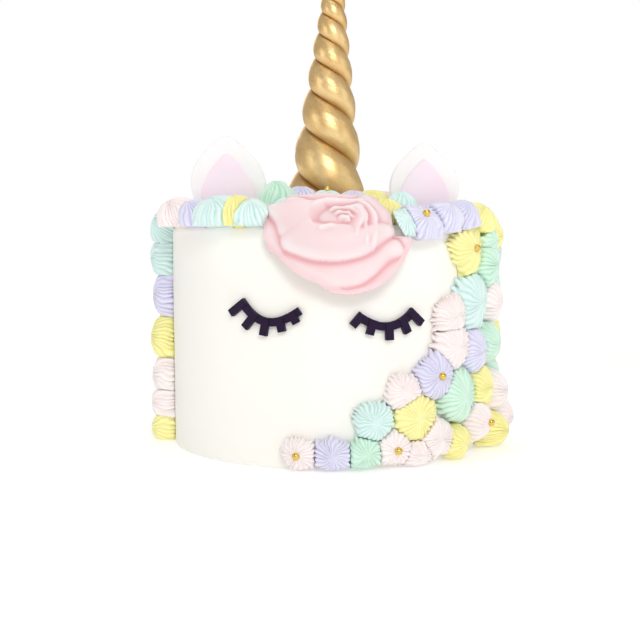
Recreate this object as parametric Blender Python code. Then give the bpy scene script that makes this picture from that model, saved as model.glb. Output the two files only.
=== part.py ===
"""Unicorn birthday cake: an iced round cake with horn, ears, lashes, a rose and a piped mane.

The cake stands on the floor plane with the middle of its base at the origin. +Z is up and
the face looks towards -Y. An angle round the cake is in degrees from the face, growing
towards +X. All lengths are in metres.
"""
import math
import random

import bmesh
import bpy
from mathutils import Matrix, Vector
from mathutils.bvhtree import BVHTree

MM = 0.001

# Iced cake
CAKE_RADIUS = 82 * MM
CAKE_HEIGHT = 113.3 * MM
CAKE_TAPER = 0.5 * MM
TOP_ROUNDING = 3 * MM
FOOT_ROUNDING = 0.8 * MM
CAKE_SIDES = 64
SEAT_GAP = 0.35 * MM
FLOOR_GAP = 0.3 * MM

# Horn: two strands twisted into a leaning cone
HORN_FOOT = Vector((-1.2 * MM, 0.0, CAKE_HEIGHT + SEAT_GAP))
HORN_LEAN = 0.0375
HORN_VANISH = 276 * MM
HORN_TIP = 263 * MM
HORN_SLOPE = 0.143
HORN_GROOVE_RATIO = 0.822
HORN_GROOVE_HEIGHT = 143.7 * MM
HORN_EVEN_HEIGHT = 232 * MM
HORN_WAIST = 0.76
HORN_SIDES = 12
HORN_LEVELS = 58
HORN_LOBE_POWER = 0.65
HORN_CLOSING = 8 * MM

# Ears: flat leaves standing on the icing, each with a thinner inner leaf in front
EAR_Y = -36.5 * MM
EAR_THICKNESS = 4 * MM
EAR_INNER_THICKNESS = 1.6 * MM
EAR_WIDTH = 36.5 * MM
EAR_HEIGHT = 43.5 * MM
EAR_BORDER = 5.8 * MM
EAR_INNER_LIFT = 4 * MM
EAR_EASING = 0.9 * MM
EAR_INNER_SPREAD = 1.28
EAR_INNER_TAPER = 0.6
EAR_PLACES = {"left": (-48.1 * MM, 0.055, 1.015), "right": (48.4 * MM, 0.016, 0.935)}

# Lashes: a curved lid strip with five short strips laid across it
LID_STEPS = 6
LID_WIDTH = 3.9 * MM
LID_THICKNESS = 1.5 * MM
LASH_WIDTH = 3.7 * MM
LASH_THICKNESS = 2.1 * MM
LASH_OVERHANG = 4.6 * MM

# Pearls
PEARL_RADIUS = 1.85 * MM
PEARL_SHOWING = 0.2

# Rose: frame of its rim, seated over the front top edge
ROSE_CENTRE = Vector((4.6 * MM, -76.0 * MM, 105.0 * MM))
ROSE_ELEVATION = math.radians(30.2)
ROSE_SQUASH = 0.82
ROSE_SHARE = 0.5
PETAL_THICKNESS = 1.8 * MM
PETAL_ACROSS = 6
PETAL_ALONG = 3
CORE_RADIUS = 23 * MM
CORE_DEPTH = 13 * MM
BUD_RADIUS = 5.5 * MM
BUD_DEPTH = 8 * MM
BUD_HEIGHT = 12 * MM

# Petals, from the outside in: middle angle, half spread, rim radius, rim height, foot radius,
# foot height, curl of the lip (angles in degrees from the rose's right, lengths in mm)
PETALS = [
    (-52, 62, 34.5, 1.5, 12, -2, 2.6),
    (-96, 72, 31.5, 5.0, 10, 0, 2.4),
    (205, 34, 33.0, 3.0, 12, -1, 2.2),
    (136, 36, 33.0, 5.5, 12, 0, 2.2),
    (86, 50, 27.0, 5.0, 12, 0, 2.0),
    (28, 50, 30.5, 6.0, 12, 0, 2.2),
    (179, 36, 34.5, 7.5, 12, 1, 2.0),
    (-85, 78, 25.0, 12.5, 8, 5, 1.8),
    (14, 50, 21.0, 13.0, 8, 6, 1.6),
    (168, 52, 22.0, 13.0, 8, 6, 1.6),
    (92, 48, 19.0, 13.0, 8, 6, 1.4),
    (-100, 64, 16.0, 16.0, 6, 9, 1.0),
    (14, 58, 13.5, 17.0, 6, 9, 1.0),
    (150, 66, 14.0, 17.0, 6, 9, 1.0),
    (-60, 74, 8.5, 19.0, 3, 12, 0.4),
    (80, 78, 8.0, 19.5, 3, 12, 0.4),
]

# Piped stars
CELL_GAP = 0.4 * MM
GROOVE_DEPTH = 0.16
SHOWN_RIDGES = 8
HIDDEN_RIDGES = 5
COLLAR_RIDGES = 6

# Rings of a star: share of the rise, share of the radius, depth of the grooves
STAR_RINGS = ((0.0, 0.86, 0.8), (0.32, 1.0, 1.0), (0.74, 0.70, 1.2))
PLAIN_RINGS = ((0.0, 0.92, 0.3), (0.45, 1.0, 0.5))
STAR_TWIST = 0.25

# Stars on the wall: node, colour, angle, height, radius, rise, pearl (lengths in mm)
WALL_STARS = [
    ("star_yellow_cheek", "yellow", 53.6, 102.5, 12.6, 7.5, True),
    ("star_mint_temple", "mint", 67.0, 106.5, 9.5, 10.5, False),
    ("star_mint_temple", "mint", 66.5, 94.5, 11.5, 11.5, False),
    ("star_yellow_temple", "yellow", 77.0, 108.5, 9.5, 11.0, False),
    ("star_aqua_large", "aqua", 57.0, 76.5, 14.0, 8.5, False),
    ("star_pink_rear", "pink", 75.0, 75.5, 11.0, 11.5, False),
    ("star_pink_upper", "pink", 44.0, 70.5, 10.6, 7.5, False),
    ("star_pink_lower", "pink", 44.8, 55.5, 11.6, 8.0, False),
    ("star_lavender_side", "lavender", 57.5, 52.0, 10.8, 9.5, False),
    ("star_mint_side", "mint", 70.5, 54.0, 10.5, 11.5, False),
    ("star_yellow_side", "yellow", 62.5, 33.0, 11.0, 11.0, False),
    ("star_lavender_pearl", "lavender", 37.0, 42.5, 11.6, 7.5, True),
    ("star_mint_large", "mint", 48.0, 32.0, 13.0, 8.5, False),
    ("star_pink_small", "pink", 24.8, 36.0, 9.4, 6.5, False),
    ("star_yellow_small", "yellow", 29.0, 23.5, 11.6, 7.4, False),
    ("star_aqua_low", "aqua", 14.3, 23.0, 9.8, 7.5, False),
    ("star_mint_low", "mint", 11.7, 8.2, 8.2, 8.5, False),
    ("star_lavender_low", "lavender", 1.4, 7.8, 8.8, 8.0, False),
    ("star_pink_low_left", "pink", -9.4, 8.0, 8.7, 8.0, True),
    ("star_pink_low_pearl", "pink", 21.0, 9.6, 8.8, 8.5, True),
    ("star_pink_low_small", "pink", 30.0, 6.2, 8.0, 8.0, False),
    ("star_pink_low_middle", "pink", 36.5, 13.0, 10.2, 9.5, False),
    ("star_yellow_low", "yellow", 46.5, 8.0, 8.6, 10.0, False),
    ("star_pink_right_pearl", "pink", 58.5, 16.5, 10.5, 12.5, True),
    ("star_yellow_right", "yellow", 72.0, 8.5, 10.0, 16.0, False),
    ("star_pink_right", "pink", 76.5, 29.0, 11.0, 14.5, False),
    ("star_pink_right_low", "pink", 88.0, 12.0, 12.0, 18.5, False),
    ("star_aqua_left", "aqua", -88.0, 97.0, 10.5, 12.0, False),
    ("star_lavender_left", "lavender", -88.0, 77.5, 11.2, 10.8, False),
    ("star_yellow_left", "yellow", -88.5, 55.0, 11.8, 12.2, False),
    ("star_pink_left", "pink", -88.0, 34.5, 10.6, 11.5, False),
    ("star_pink_left_low", "pink", -87.0, 20.0, 9.0, 11.8, False),
    ("star_yellow_left_low", "yellow", -86.5, 6.0, 9.0, 12.0, False),
]

# Stars on the top edge: node, colour, angle, elevation of the axis, radius, rise, how far the
# star may hang below the edge, pearl (lengths in mm)
EDGE_STARS = [
    ("star_aqua_left_top", "aqua", -86.0, 32.0, 10.5, 12.0, 12.0, False),
    ("star_pink_brow", "pink", -66.0, 62.0, 10.8, 14.5, 1.6, False),
    ("star_lavender_brow", "lavender", -50.5, 61.0, 9.4, 13.5, 1.6, False),
    ("star_aqua_brow", "aqua", -38.0, 60.0, 12.0, 15.0, 1.6, False),
    ("star_yellow_brow", "yellow", -30.5, 68.0, 8.6, 14.5, 1.6, False),
    ("star_aqua_rose", "aqua", -24.5, 62.0, 9.4, 13.0, 1.6, False),
    ("star_aqua_fringe", "aqua", 24.5, 36.0, 8.4, 8.0, 5.5, False),
    ("star_lavender_fringe", "lavender", 30.8, 41.0, 11.2, 9.5, 6.5, True),
    ("star_lavender_crown", "lavender", 41.0, 52.0, 9.6, 12.5, 3.0, False),
    ("star_lavender_rear", "lavender", 51.0, 60.0, 9.6, 13.5, 2.0, False),
    ("star_yellow_crown", "yellow", 63.0, 56.0, 10.5, 12.5, 3.0, False),
]

# Stars standing on the top: node, colour, x, y, radius, rise, pearl (lengths in mm)
TOP_STARS = [
    ("star_mint_crown", "mint", -25.0, -40.0, 11.0, 22.0, False),
    ("star_aqua_behind_rose", "aqua", -19.5, -57.0, 9.6, 13.5, False),
    ("star_aqua_ear", "aqua", 35.5, -50.0, 9.4, 16.5, False),
    ("star_yellow_fringe", "yellow", 27.5, -62.5, 8.0, 12.5, False),
]

# Ring of tall stars round the foot of the horn, from the front towards +X
COLLAR_RADIUS = 30 * MM
COLLAR_STAR_RADIUS = 11.4
COLLAR = [
    (0, "aqua", 18.0), (27, "lavender", 18.0), (50, "yellow", 18.5), (74, "pink", 18.5),
    (108, "mint", 17.0), (144, "lavender", 16.0), (180, "aqua", 16.0), (216, "pink", 16.0),
    (252, "yellow", 17.0), (286, "aqua", 17.5), (333, "lavender", 20.0),
]

# Hidden side, finished like what shows (lengths in mm): columns of stars on the wall, and arcs of
# stars on the top, each with its distance from the middle, first and last angle and count
BACK_FIRST_ANGLE = 91
BACK_LAST_ANGLE = 255
BACK_COLUMNS = 12
BACK_TAKEN = (0, 0)
BACK_RADIUS = 13.8
BACK_RISE = 11.5
BACK_LOWEST = 8.5
BACK_ROWS = 5
BACK_ROW_STEP = 23.6
BACK_STAGGER = 5
BACK_HIGHEST = 104.5
TOP_ARCS = ((73, 80, 263, 11), (51, 62, 290, 10))
TOP_RADIUS = 13.4
TOP_RISE = 13.0
MANE_SHARE = 0.5
COLOUR_ORDER = ("pink", "mint", "lavender", "yellow", "aqua")

MATERIALS = {
    "white_buttercream": ((0.94, 0.93, 0.89), 0.45, 0.0),
    "pink": ((0.95, 0.76, 0.75), 0.45, 0.0),
    "lavender": ((0.72, 0.68, 0.88), 0.45, 0.0),
    "mint": ((0.64, 0.89, 0.74), 0.45, 0.0),
    "aqua": ((0.72, 0.91, 0.86), 0.45, 0.0),
    "yellow": ((0.95, 0.92, 0.47), 0.45, 0.0),
    "rose_pink": ((0.95, 0.68, 0.69), 0.5, 0.0),
    "horn_gold": ((0.62, 0.38, 0.13), 0.32, 0.9),
    "white_fondant": ((0.93, 0.93, 0.92), 0.5, 0.0),
    "pink_fondant": ((0.94, 0.72, 0.84), 0.5, 0.0),
    "dark_fondant": ((0.02, 0.005, 0.04), 0.4, 0.0),
}


def clear_scene():
    for obj in list(bpy.data.objects):
        bpy.data.objects.remove(obj, do_unlink=True)


def material(name):
    """The named material, made the first time that it is asked for."""
    found = bpy.data.materials.get(name)
    if found:
        return found
    colour, roughness, metallic = MATERIALS[name]
    made = bpy.data.materials.new(name)
    made.use_nodes = True
    shader = made.node_tree.nodes["Principled BSDF"]
    shader.inputs["Base Color"].default_value = (*colour, 1.0)
    shader.inputs["Roughness"].default_value = roughness
    shader.inputs["Metallic"].default_value = metallic
    made.diffuse_color = (*colour, 1.0)
    return made


def add_object(name, bm, material_name, sharp_degrees=40.0):
    """Puts a finished bmesh in the scene as one smooth-shaded object of triangles."""
    bmesh.ops.recalc_face_normals(bm, faces=bm.faces)
    bmesh.ops.triangulate(bm, faces=bm.faces)
    mesh = bpy.data.meshes.new(name)
    bm.to_mesh(mesh)
    bm.free()
    obj = bpy.data.objects.new(name, mesh)
    bpy.context.collection.objects.link(obj)
    obj.data.materials.append(material(material_name))
    mesh.shade_smooth()
    mesh.set_sharp_from_angle(angle=math.radians(sharp_degrees))
    return obj


def loft(bm, rings, first_tip=None, last_tip=None):
    """Skins closed rings of points in order, and closes each end on a tip point or a flat face."""
    loops = [[bm.verts.new(point) for point in ring] for ring in rings]
    for lower, upper in zip(loops, loops[1:]):
        for i in range(len(lower)):
            j = (i + 1) % len(lower)
            bm.faces.new((lower[i], lower[j], upper[j], upper[i]))
    for loop, tip in ((loops[0], first_tip), (loops[-1], last_tip)):
        if tip is None:
            bm.faces.new(loop)
            continue
        end = bm.verts.new(tip)
        for i in range(len(loop)):
            bm.faces.new((loop[i], loop[(i + 1) % len(loop)], end))


def fuse(parts, name):
    """Joins solid objects into one by a single Boolean union, then removes what went in."""
    target, others = parts[0], parts[1:]
    target.name = name
    if not others:
        return target
    group = bpy.data.collections.new(name + "_parts")
    bpy.context.scene.collection.children.link(group)
    for obj in others:
        for owner in list(obj.users_collection):
            owner.objects.unlink(obj)
        group.objects.link(obj)
    union = target.modifiers.new("union", "BOOLEAN")
    union.operation = "UNION"
    union.operand_type = "COLLECTION"
    union.collection = group
    apply_modifiers(target)
    for obj in list(group.objects):
        bpy.data.objects.remove(obj, do_unlink=True)
    bpy.data.collections.remove(group)
    keep_outer_shell(target)
    return target


def carve(target, cutter):
    """Takes the cutter away from the target and removes the cutter."""
    cut = target.modifiers.new("cut", "BOOLEAN")
    cut.operation = "DIFFERENCE"
    cut.object = cutter
    apply_modifiers(target)
    bpy.data.objects.remove(cutter, do_unlink=True)
    keep_outer_shell(target)


def apply_modifiers(obj):
    graph = bpy.context.evaluated_depsgraph_get()
    mesh = bpy.data.meshes.new_from_object(obj.evaluated_get(graph))
    obj.modifiers.clear()
    old = obj.data
    obj.data = mesh
    bpy.data.meshes.remove(old)


def keep_outer_shell(obj):
    """Drops sealed hollows and loose scraps, so that one closed skin is left."""
    bm = bmesh.new()
    bm.from_mesh(obj.data)
    bmesh.ops.remove_doubles(bm, verts=bm.verts, dist=0.001 * MM)
    unseen = set(bm.verts)
    shells = []
    while unseen:
        shell, edge_of_search = set(), [unseen.pop()]
        while edge_of_search:
            vert = edge_of_search.pop()
            shell.add(vert)
            for edge in vert.link_edges:
                other = edge.other_vert(vert)
                if other in unseen:
                    unseen.remove(other)
                    edge_of_search.append(other)
        shells.append(shell)
    shells.sort(key=spread)
    for shell in shells[:-1]:
        bmesh.ops.delete(bm, geom=list(shell), context="VERTS")
    bm.to_mesh(obj.data)
    bm.free()


def thin(obj, share):
    """Collapses the short edges that a union leaves, down to a share of the triangles."""
    bm = bmesh.new()
    bm.from_mesh(obj.data)
    bmesh.ops.triangulate(bm, faces=bm.faces)
    bm.to_mesh(obj.data)
    bm.free()
    collapse = obj.modifiers.new("thin", "DECIMATE")
    collapse.ratio = share
    apply_modifiers(obj)


def spread(verts):
    """Diagonal of the box round some vertices."""
    low = Vector([min(v.co[k] for v in verts) for k in range(3)])
    high = Vector([max(v.co[k] for v in verts) for k in range(3)])
    return (high - low).length


def turn(angle):
    """Unit vector pointing out of the cake at an angle in degrees from the face."""
    a = math.radians(angle)
    return Vector((math.sin(a), -math.cos(a), 0.0))


# Iced cake
def build_cake(name, grow=0.0, sides=CAKE_SIDES):
    bm = bmesh.new()
    bmesh.ops.create_cone(
        bm, cap_ends=True, segments=sides,
        radius1=CAKE_RADIUS - CAKE_TAPER + grow, radius2=CAKE_RADIUS + grow,
        depth=CAKE_HEIGHT + grow,
        matrix=Matrix.Translation((0, 0, (CAKE_HEIGHT + grow) / 2)))
    rim = [e for e in bm.edges if all(v.co.z > CAKE_HEIGHT / 2 for v in e.verts)]
    bmesh.ops.bevel(bm, geom=rim, offset=TOP_ROUNDING + grow, segments=3, profile=0.5,
                    affect="EDGES", offset_type="OFFSET")
    if not grow:
        foot = [e for e in bm.edges if all(v.co.z < FOOT_ROUNDING for v in e.verts)]
        bmesh.ops.bevel(bm, geom=foot, offset=FOOT_ROUNDING, segments=1, profile=0.5,
                        affect="EDGES", offset_type="OFFSET")
    return add_object(name, bm, "white_buttercream", 30.0)


# Horn
def horn_twist(height):
    """Turn of the strands at a height: quicker as the cone narrows, then even near the tip."""
    pace = math.pi / -math.log(HORN_GROOVE_RATIO)
    narrow = HORN_VANISH - min(height, HORN_EVEN_HEIGHT)
    turned = pace * math.log((HORN_VANISH - HORN_GROOVE_HEIGHT) / narrow)
    return turned + pace * max(0.0, height - HORN_EVEN_HEIGHT) / narrow


def horn_ring(height, sides):
    """One section of the twisted pair: two round lobes turned further at each level."""
    reach = (HORN_VANISH - height) * HORN_SLOPE
    close = min(1.0, math.sqrt(max(0.0, (HORN_TIP - height) / HORN_CLOSING)))
    middle = HORN_FOOT + Vector((HORN_LEAN * (height - HORN_FOOT.z), 0, height - HORN_FOOT.z))
    ring = []
    for i in range(sides):
        lobe = math.tau * i / sides
        swell = HORN_WAIST + (1 - HORN_WAIST) * abs(math.cos(lobe)) ** HORN_LOBE_POWER
        angle = lobe - horn_twist(height) + math.pi / 2
        ring.append(middle + reach * swell * close
                    * Vector((math.cos(angle), math.sin(angle), 0)))
    return ring


def build_horn():
    """Rings at equal steps of turn, so that the grooves run along the mesh."""
    bm = bmesh.new()
    low, high = HORN_FOOT.z, HORN_TIP - 0.35 * MM
    fine = [low + (high - low) * i / 2000 for i in range(2001)]
    step = (horn_twist(high) - horn_twist(low)) / (HORN_LEVELS - 1)
    heights = [low]
    for height in fine:
        if horn_twist(height) - horn_twist(low) >= step * len(heights) - 1e-6:
            heights.append(height)
    heights[-1] = high
    tip = HORN_FOOT + Vector((HORN_LEAN * (HORN_TIP - low), 0, HORN_TIP - low))
    loft(bm, [horn_ring(z, HORN_SIDES) for z in heights], last_tip=tip)
    return add_object("horn", bm, "horn_gold", 75.0)


# Ears
def ear_outline(width, height, lift, spread=1.0, taper=0.0):
    """Leaf outline on x and z, from the foot up the right side to the tip and down again."""
    half = [(0.30, 0.0), (0.41, 0.15), (0.485, 0.34), (0.50, 0.50),
            (0.43, 0.68), (0.29, 0.83), (0.14, 0.945), (0.045, 0.99)]
    right = [(x * width * (spread - taper * z), lift + z * height) for x, z in half]
    left = [(-x, z) for x, z in reversed(right)]
    return right + [(0.0, lift + height)] + left


def build_ear_leaf(name, side, outline, front, back, material_name):
    """Stands an outline up as a plate between two depths, with eased front corners."""
    offset, lean, scale = EAR_PLACES[side]
    foot = CAKE_HEIGHT + SEAT_GAP
    bm = bmesh.new()
    ring = [bm.verts.new((offset + scale * x - lean * z, front, foot + scale * z))
            for x, z in outline]
    face = bm.faces.new(ring)
    solid = bmesh.ops.extrude_face_region(bm, geom=[face])
    moved = [v for v in solid["geom"] if isinstance(v, bmesh.types.BMVert)]
    bmesh.ops.translate(bm, verts=moved, vec=(0, back - front, 0))
    edges = [e for e in bm.edges if all(abs(v.co.y - front) < 1e-7 for v in e.verts)]
    bmesh.ops.bevel(bm, geom=edges, offset=min(EAR_EASING, (back - front) * 0.45), segments=1,
                    profile=0.5, affect="EDGES", offset_type="OFFSET")
    return add_object(name, bm, material_name, 50.0)


def build_ears():
    front = EAR_Y - EAR_THICKNESS / 2
    for side in EAR_PLACES:
        outer = ear_outline(EAR_WIDTH, EAR_HEIGHT, 0.0)
        build_ear_leaf("ear_" + side, side, outer, front, front + EAR_THICKNESS, "white_fondant")
        inner = ear_outline(EAR_WIDTH - 2 * EAR_BORDER, EAR_HEIGHT - 2.2 * EAR_BORDER,
                            EAR_INNER_LIFT, EAR_INNER_SPREAD, EAR_INNER_TAPER)
        build_ear_leaf("ear_inner_" + side, side, inner, front - CELL_GAP - EAR_INNER_THICKNESS,
                       front - CELL_GAP, "pink_fondant")


# Lashes
def wall_point(arc, height, out):
    """Point at an arc length round the cake, a height and a distance out from the icing."""
    return turn(math.degrees(arc / CAKE_RADIUS)) * (CAKE_RADIUS + out) + Vector((0, 0, height))


def strip(name, path, width, thickness):
    """Flat strip bent over the wall along a path of arc length and height."""
    bm = bmesh.new()
    rings = []
    for i, (arc, height) in enumerate(path):
        before, after = path[max(i - 1, 0)], path[min(i + 1, len(path) - 1)]
        along = Vector((after[0] - before[0], after[1] - before[1])).normalized()
        side = Vector((-along.y, along.x)) * width / 2
        ring = []
        for sign, out in ((1, 0), (1, thickness), (-1, thickness), (-1, 0)):
            ring.append(wall_point(arc + sign * side.x, height + sign * side.y, SEAT_GAP + out))
        rings.append(ring)
    loft(bm, rings)
    return add_object(name, bm, "dark_fondant", 40.0)


def build_lashes(name, ends, dip, tips):
    """One closed eye: a sagging lid strip and five lashes fanning out below it.

    ends are the lid's two ends and dip its lowest middle, as angle and height on its centre
    line; tips gives, for each lash, the place of the middle of its tip.
    """
    (a0, z0), (a1, z1) = ends
    lid = []
    for i in range(LID_STEPS + 1):
        t = i / LID_STEPS
        sag = 4 * t * (1 - t)
        level = z0 + (z1 - z0) * t
        level = level * (1 - sag) + dip * sag
        lid.append((math.radians(a0 + (a1 - a0) * t) * CAKE_RADIUS, level * MM))
    parts = [strip(name, lid, LID_WIDTH, LID_THICKNESS)]
    for i, (angle, height) in enumerate(tips):
        tip = Vector((math.radians(angle) * CAKE_RADIUS, height * MM))
        root = min((Vector(p) for p in lid), key=lambda p: (p - tip).length)
        along = (tip - root).normalized()
        start = tip - along * (LID_WIDTH + LASH_OVERHANG)
        parts.append(strip(name + str(i), [start, tip], LASH_WIDTH, LASH_THICKNESS))
    return fuse(parts, name)


# Rose
def rose_frame():
    """Directions to the rose's right, up its face and out along its axis."""
    right = Vector((1, 0, 0))
    out = Vector((0, -math.cos(ROSE_ELEVATION), math.sin(ROSE_ELEVATION)))
    return right, out.cross(right), out


def rose_point(p, q, s):
    right, up, out = rose_frame()
    return ROSE_CENTRE + right * p + up * q * ROSE_SQUASH + out * s


def petal_point(petal, u, t):
    """Point of a petal's middle surface: u runs across from -1 to 1, t from foot to lip."""
    middle, spread_angle, reach, rise, foot_reach, foot_rise, curl = petal
    fade = math.cos(u * math.pi / 2) ** 0.45 if abs(u) < 1 else 0.0
    angle = math.radians(middle + spread_angle * u)
    lip_reach = foot_reach + (reach - foot_reach) * (0.62 + 0.38 * fade)
    lip_rise = foot_rise + (rise - foot_rise) * (0.55 + 0.45 * fade)
    radial = foot_reach + (lip_reach - foot_reach) * t ** 1.15
    height = foot_rise + (lip_rise - foot_rise) * math.sin(t * math.pi / 2) ** 0.9
    height -= curl * max(0.0, (t - 0.7) / 0.3) ** 2 * fade
    return Vector((radial * math.cos(angle), radial * math.sin(angle), height)) * MM


def build_petal(name, petal):
    bm = bmesh.new()
    rings = []
    for i in range(PETAL_ACROSS + 1):
        u = 2 * i / PETAL_ACROSS - 1
        upper, lower = [], []
        for j in range(PETAL_ALONG + 1):
            t = j / PETAL_ALONG
            point = petal_point(petal, u * 0.999, t)
            ahead = petal_point(petal, u * 0.999, min(t + 0.02, 1.0))
            behind = petal_point(petal, u * 0.999, max(t - 0.02, 0.0))
            along = (ahead - behind).normalized()
            across = Vector((-point.y, point.x, 0)).normalized()
            normal = across.cross(along).normalized()
            thick = PETAL_THICKNESS * (1.0 - 0.45 * t)
            upper.append(point + normal * thick / 2)
            lower.append(point - normal * thick / 2)
        ring = [rose_point(*p) for p in upper + lower[::-1]]
        rings.append(ring)
    loft(bm, rings)
    return add_object(name, bm, "rose_pink", 50.0)


def build_rose():
    core = bmesh.new()
    bmesh.ops.create_uvsphere(core, u_segments=12, v_segments=6, radius=1.0)
    for vert in core.verts:
        x, y, z = vert.co
        vert.co = rose_point(x * CORE_RADIUS, y * CORE_RADIUS, z * CORE_DEPTH)
    bud = bmesh.new()
    bmesh.ops.create_uvsphere(bud, u_segments=8, v_segments=5, radius=1.0)
    for vert in bud.verts:
        x, y, z = vert.co
        vert.co = rose_point(x * BUD_RADIUS, y * BUD_RADIUS, z * BUD_DEPTH + BUD_HEIGHT)
    parts = [add_object("rose", core, "rose_pink", 50.0),
             add_object("bud", bud, "rose_pink", 50.0)]
    for i, petal in enumerate(PETALS):
        parts.append(build_petal("petal" + str(i), petal))
    rose = fuse(parts, "rose")
    carve(rose, build_cake("seat", SEAT_GAP, 48))
    thin(rose, ROSE_SHARE)
    return rose


# Piped stars
class Star:
    """One piped star: where it stands, which way it points, its size and its limits."""

    def __init__(self, node, colour, foot, axis, radius, rise, pearl=False,
                 ridges=SHOWN_RIDGES, kind="wall"):
        self.node, self.colour, self.pearl = node, colour, pearl
        self.foot, self.axis = foot, axis.normalized()
        self.radius, self.rise, self.ridges, self.kind = radius * MM, rise * MM, ridges, kind
        level = Vector((0, 0, 1)) if abs(self.axis.z) < 0.9 else Vector((0, 1, 0))
        self.right = level.cross(self.axis).normalized()
        self.up = self.axis.cross(self.right)
        self.heart = self.foot + self.axis * self.rise * 0.4
        self.limits = [(Vector((0, 0, FLOOR_GAP)), Vector((0, 0, -1)))]

    def inside(self, point):
        return all((point - place).dot(normal) <= 1e-9 for place, normal in self.limits)


def wall_star(node, colour, angle, height, radius, rise, pearl, ridges=SHOWN_RIDGES):
    out = turn(angle)
    foot = out * (CAKE_RADIUS + SEAT_GAP) + Vector((0, 0, height * MM))
    return Star(node, colour, foot, out, radius, rise, pearl, ridges)


def edge_star(node, colour, angle, elevation, radius, rise, hang, pearl, ridges=SHOWN_RIDGES):
    e = math.radians(elevation)
    axis = turn(angle) * math.cos(e) + Vector((0, 0, math.sin(e)))
    foot = turn(angle) * (CAKE_RADIUS - TOP_ROUNDING)
    foot.z = CAKE_HEIGHT - TOP_ROUNDING
    star = Star(node, colour, foot + axis * TOP_ROUNDING, axis, radius, rise, pearl, ridges,
                "edge")
    star.limits.append((Vector((0, 0, CAKE_HEIGHT - hang * MM)), Vector((0, 0, -1))))
    return star


def top_star(node, colour, x, y, radius, rise, pearl, ridges=SHOWN_RIDGES):
    foot = Vector((x * MM, y * MM, CAKE_HEIGHT + SEAT_GAP))
    return Star(node, colour, foot, Vector((0, 0, 1)), radius, rise, pearl, ridges, "top")


def hidden_stars():
    """The back of the mane: staggered columns on the wall and rows on the top behind the horn."""
    draw = random.Random(7)
    stars = []
    step = (BACK_LAST_ANGLE - BACK_FIRST_ANGLE) / (BACK_COLUMNS - 1)
    for column in range(BACK_COLUMNS):
        for row in range(BACK_ROWS):
            if (column, row) == BACK_TAKEN:
                continue
            high = BACK_LOWEST + row * BACK_ROW_STEP + BACK_STAGGER * (column % 2)
            high = min(high + draw.uniform(-1.2, 1.2), BACK_HIGHEST)
            colour = COLOUR_ORDER[(2 * column + row + draw.choice((0, 0, 1))) % 5]
            node = "mane_back_right" if column < BACK_COLUMNS // 2 else "mane_back_left"
            stars.append(wall_star(node, colour, BACK_FIRST_ANGLE + column * step
                                   + draw.uniform(-1, 1), high, BACK_RADIUS, BACK_RISE,
                                   False, HIDDEN_RIDGES))
    for reach, first, last, count in TOP_ARCS:
        for i in range(count):
            angle = first + (last - first) * i / (count - 1)
            foot = turn(angle) * reach
            colour = COLOUR_ORDER[(3 * i + reach) % 5]
            stars.append(top_star("mane_top", colour, foot.x, foot.y, TOP_RADIUS, TOP_RISE,
                                  False, HIDDEN_RIDGES))
    return stars


def collar_stars():
    stars = []
    for angle, colour, rise in COLLAR:
        foot = turn(angle) * (COLLAR_RADIUS / MM)
        pearl = angle == 0
        stars.append(top_star("mane_collar", colour, foot.x, foot.y, COLLAR_STAR_RADIUS, rise,
                              pearl, COLLAR_RIDGES))
    return stars


def hull_tree(objects):
    """Search tree of the convex hull round some objects."""
    bm = bmesh.new()
    for obj in objects:
        bm.from_mesh(obj.data)
    hull = bmesh.ops.convex_hull(bm, input=bm.verts, use_existing_faces=False)
    loose = {v for v in hull["geom_interior"] + hull["geom_unused"]
             if isinstance(v, bmesh.types.BMVert) and v.is_valid}
    bmesh.ops.delete(bm, geom=list(loose), context="VERTS")
    tree = BVHTree.FromBMesh(bm)
    bm.free()
    return tree


def set_limits(stars, hulls):
    """Shares the room out: each star keeps to its side of the plane towards each neighbour."""
    for star in stars:
        for other in stars:
            if other.node == star.node:
                continue
            across = other.heart - star.heart
            distance = across.length
            if distance > star.radius + other.radius + 0.5 * max(star.rise, other.rise):
                continue
            share = (distance ** 2 + star.radius ** 2 - other.radius ** 2) / (2 * distance)
            share = min(max(share, 0.3 * distance), 0.7 * distance)
            across.normalize()
            star.limits.append((star.heart + across * (share - CELL_GAP / 2), across))
        for tree in hulls:
            place, _, _, distance = tree.find_nearest(star.heart)
            if place is None or distance > 2 * star.radius + star.rise:
                continue
            away = (place - star.heart).normalized()
            star.limits.append((place - away * CELL_GAP, away))


def settle(star, point):
    """Moves a point of the lowest ring along the star's axis down to the icing."""
    if star.kind != "wall":
        return point
    out = Vector((star.axis.x, star.axis.y, 0)).normalized()
    reach = CAKE_RADIUS + SEAT_GAP
    side = Vector((point.x, point.y, 0))
    along = side.dot(out)
    across = (side - out * along).length
    return point + out * (math.sqrt(max(reach ** 2 - across ** 2, 0.0)) - along)


def furthest_inside(star, middle, heading, full, lowest):
    """Point at the full reach from the star's axis, or as far as its limits let it go."""
    def at(reach):
        point = middle + heading * reach
        return settle(star, point) if lowest else point

    if star.inside(at(full)):
        return at(full)
    near, far = 0.0, full
    for _ in range(16):
        test = (near + far) / 2
        if star.inside(at(test)):
            near = test
        else:
            far = test
    return at(near)


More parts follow.
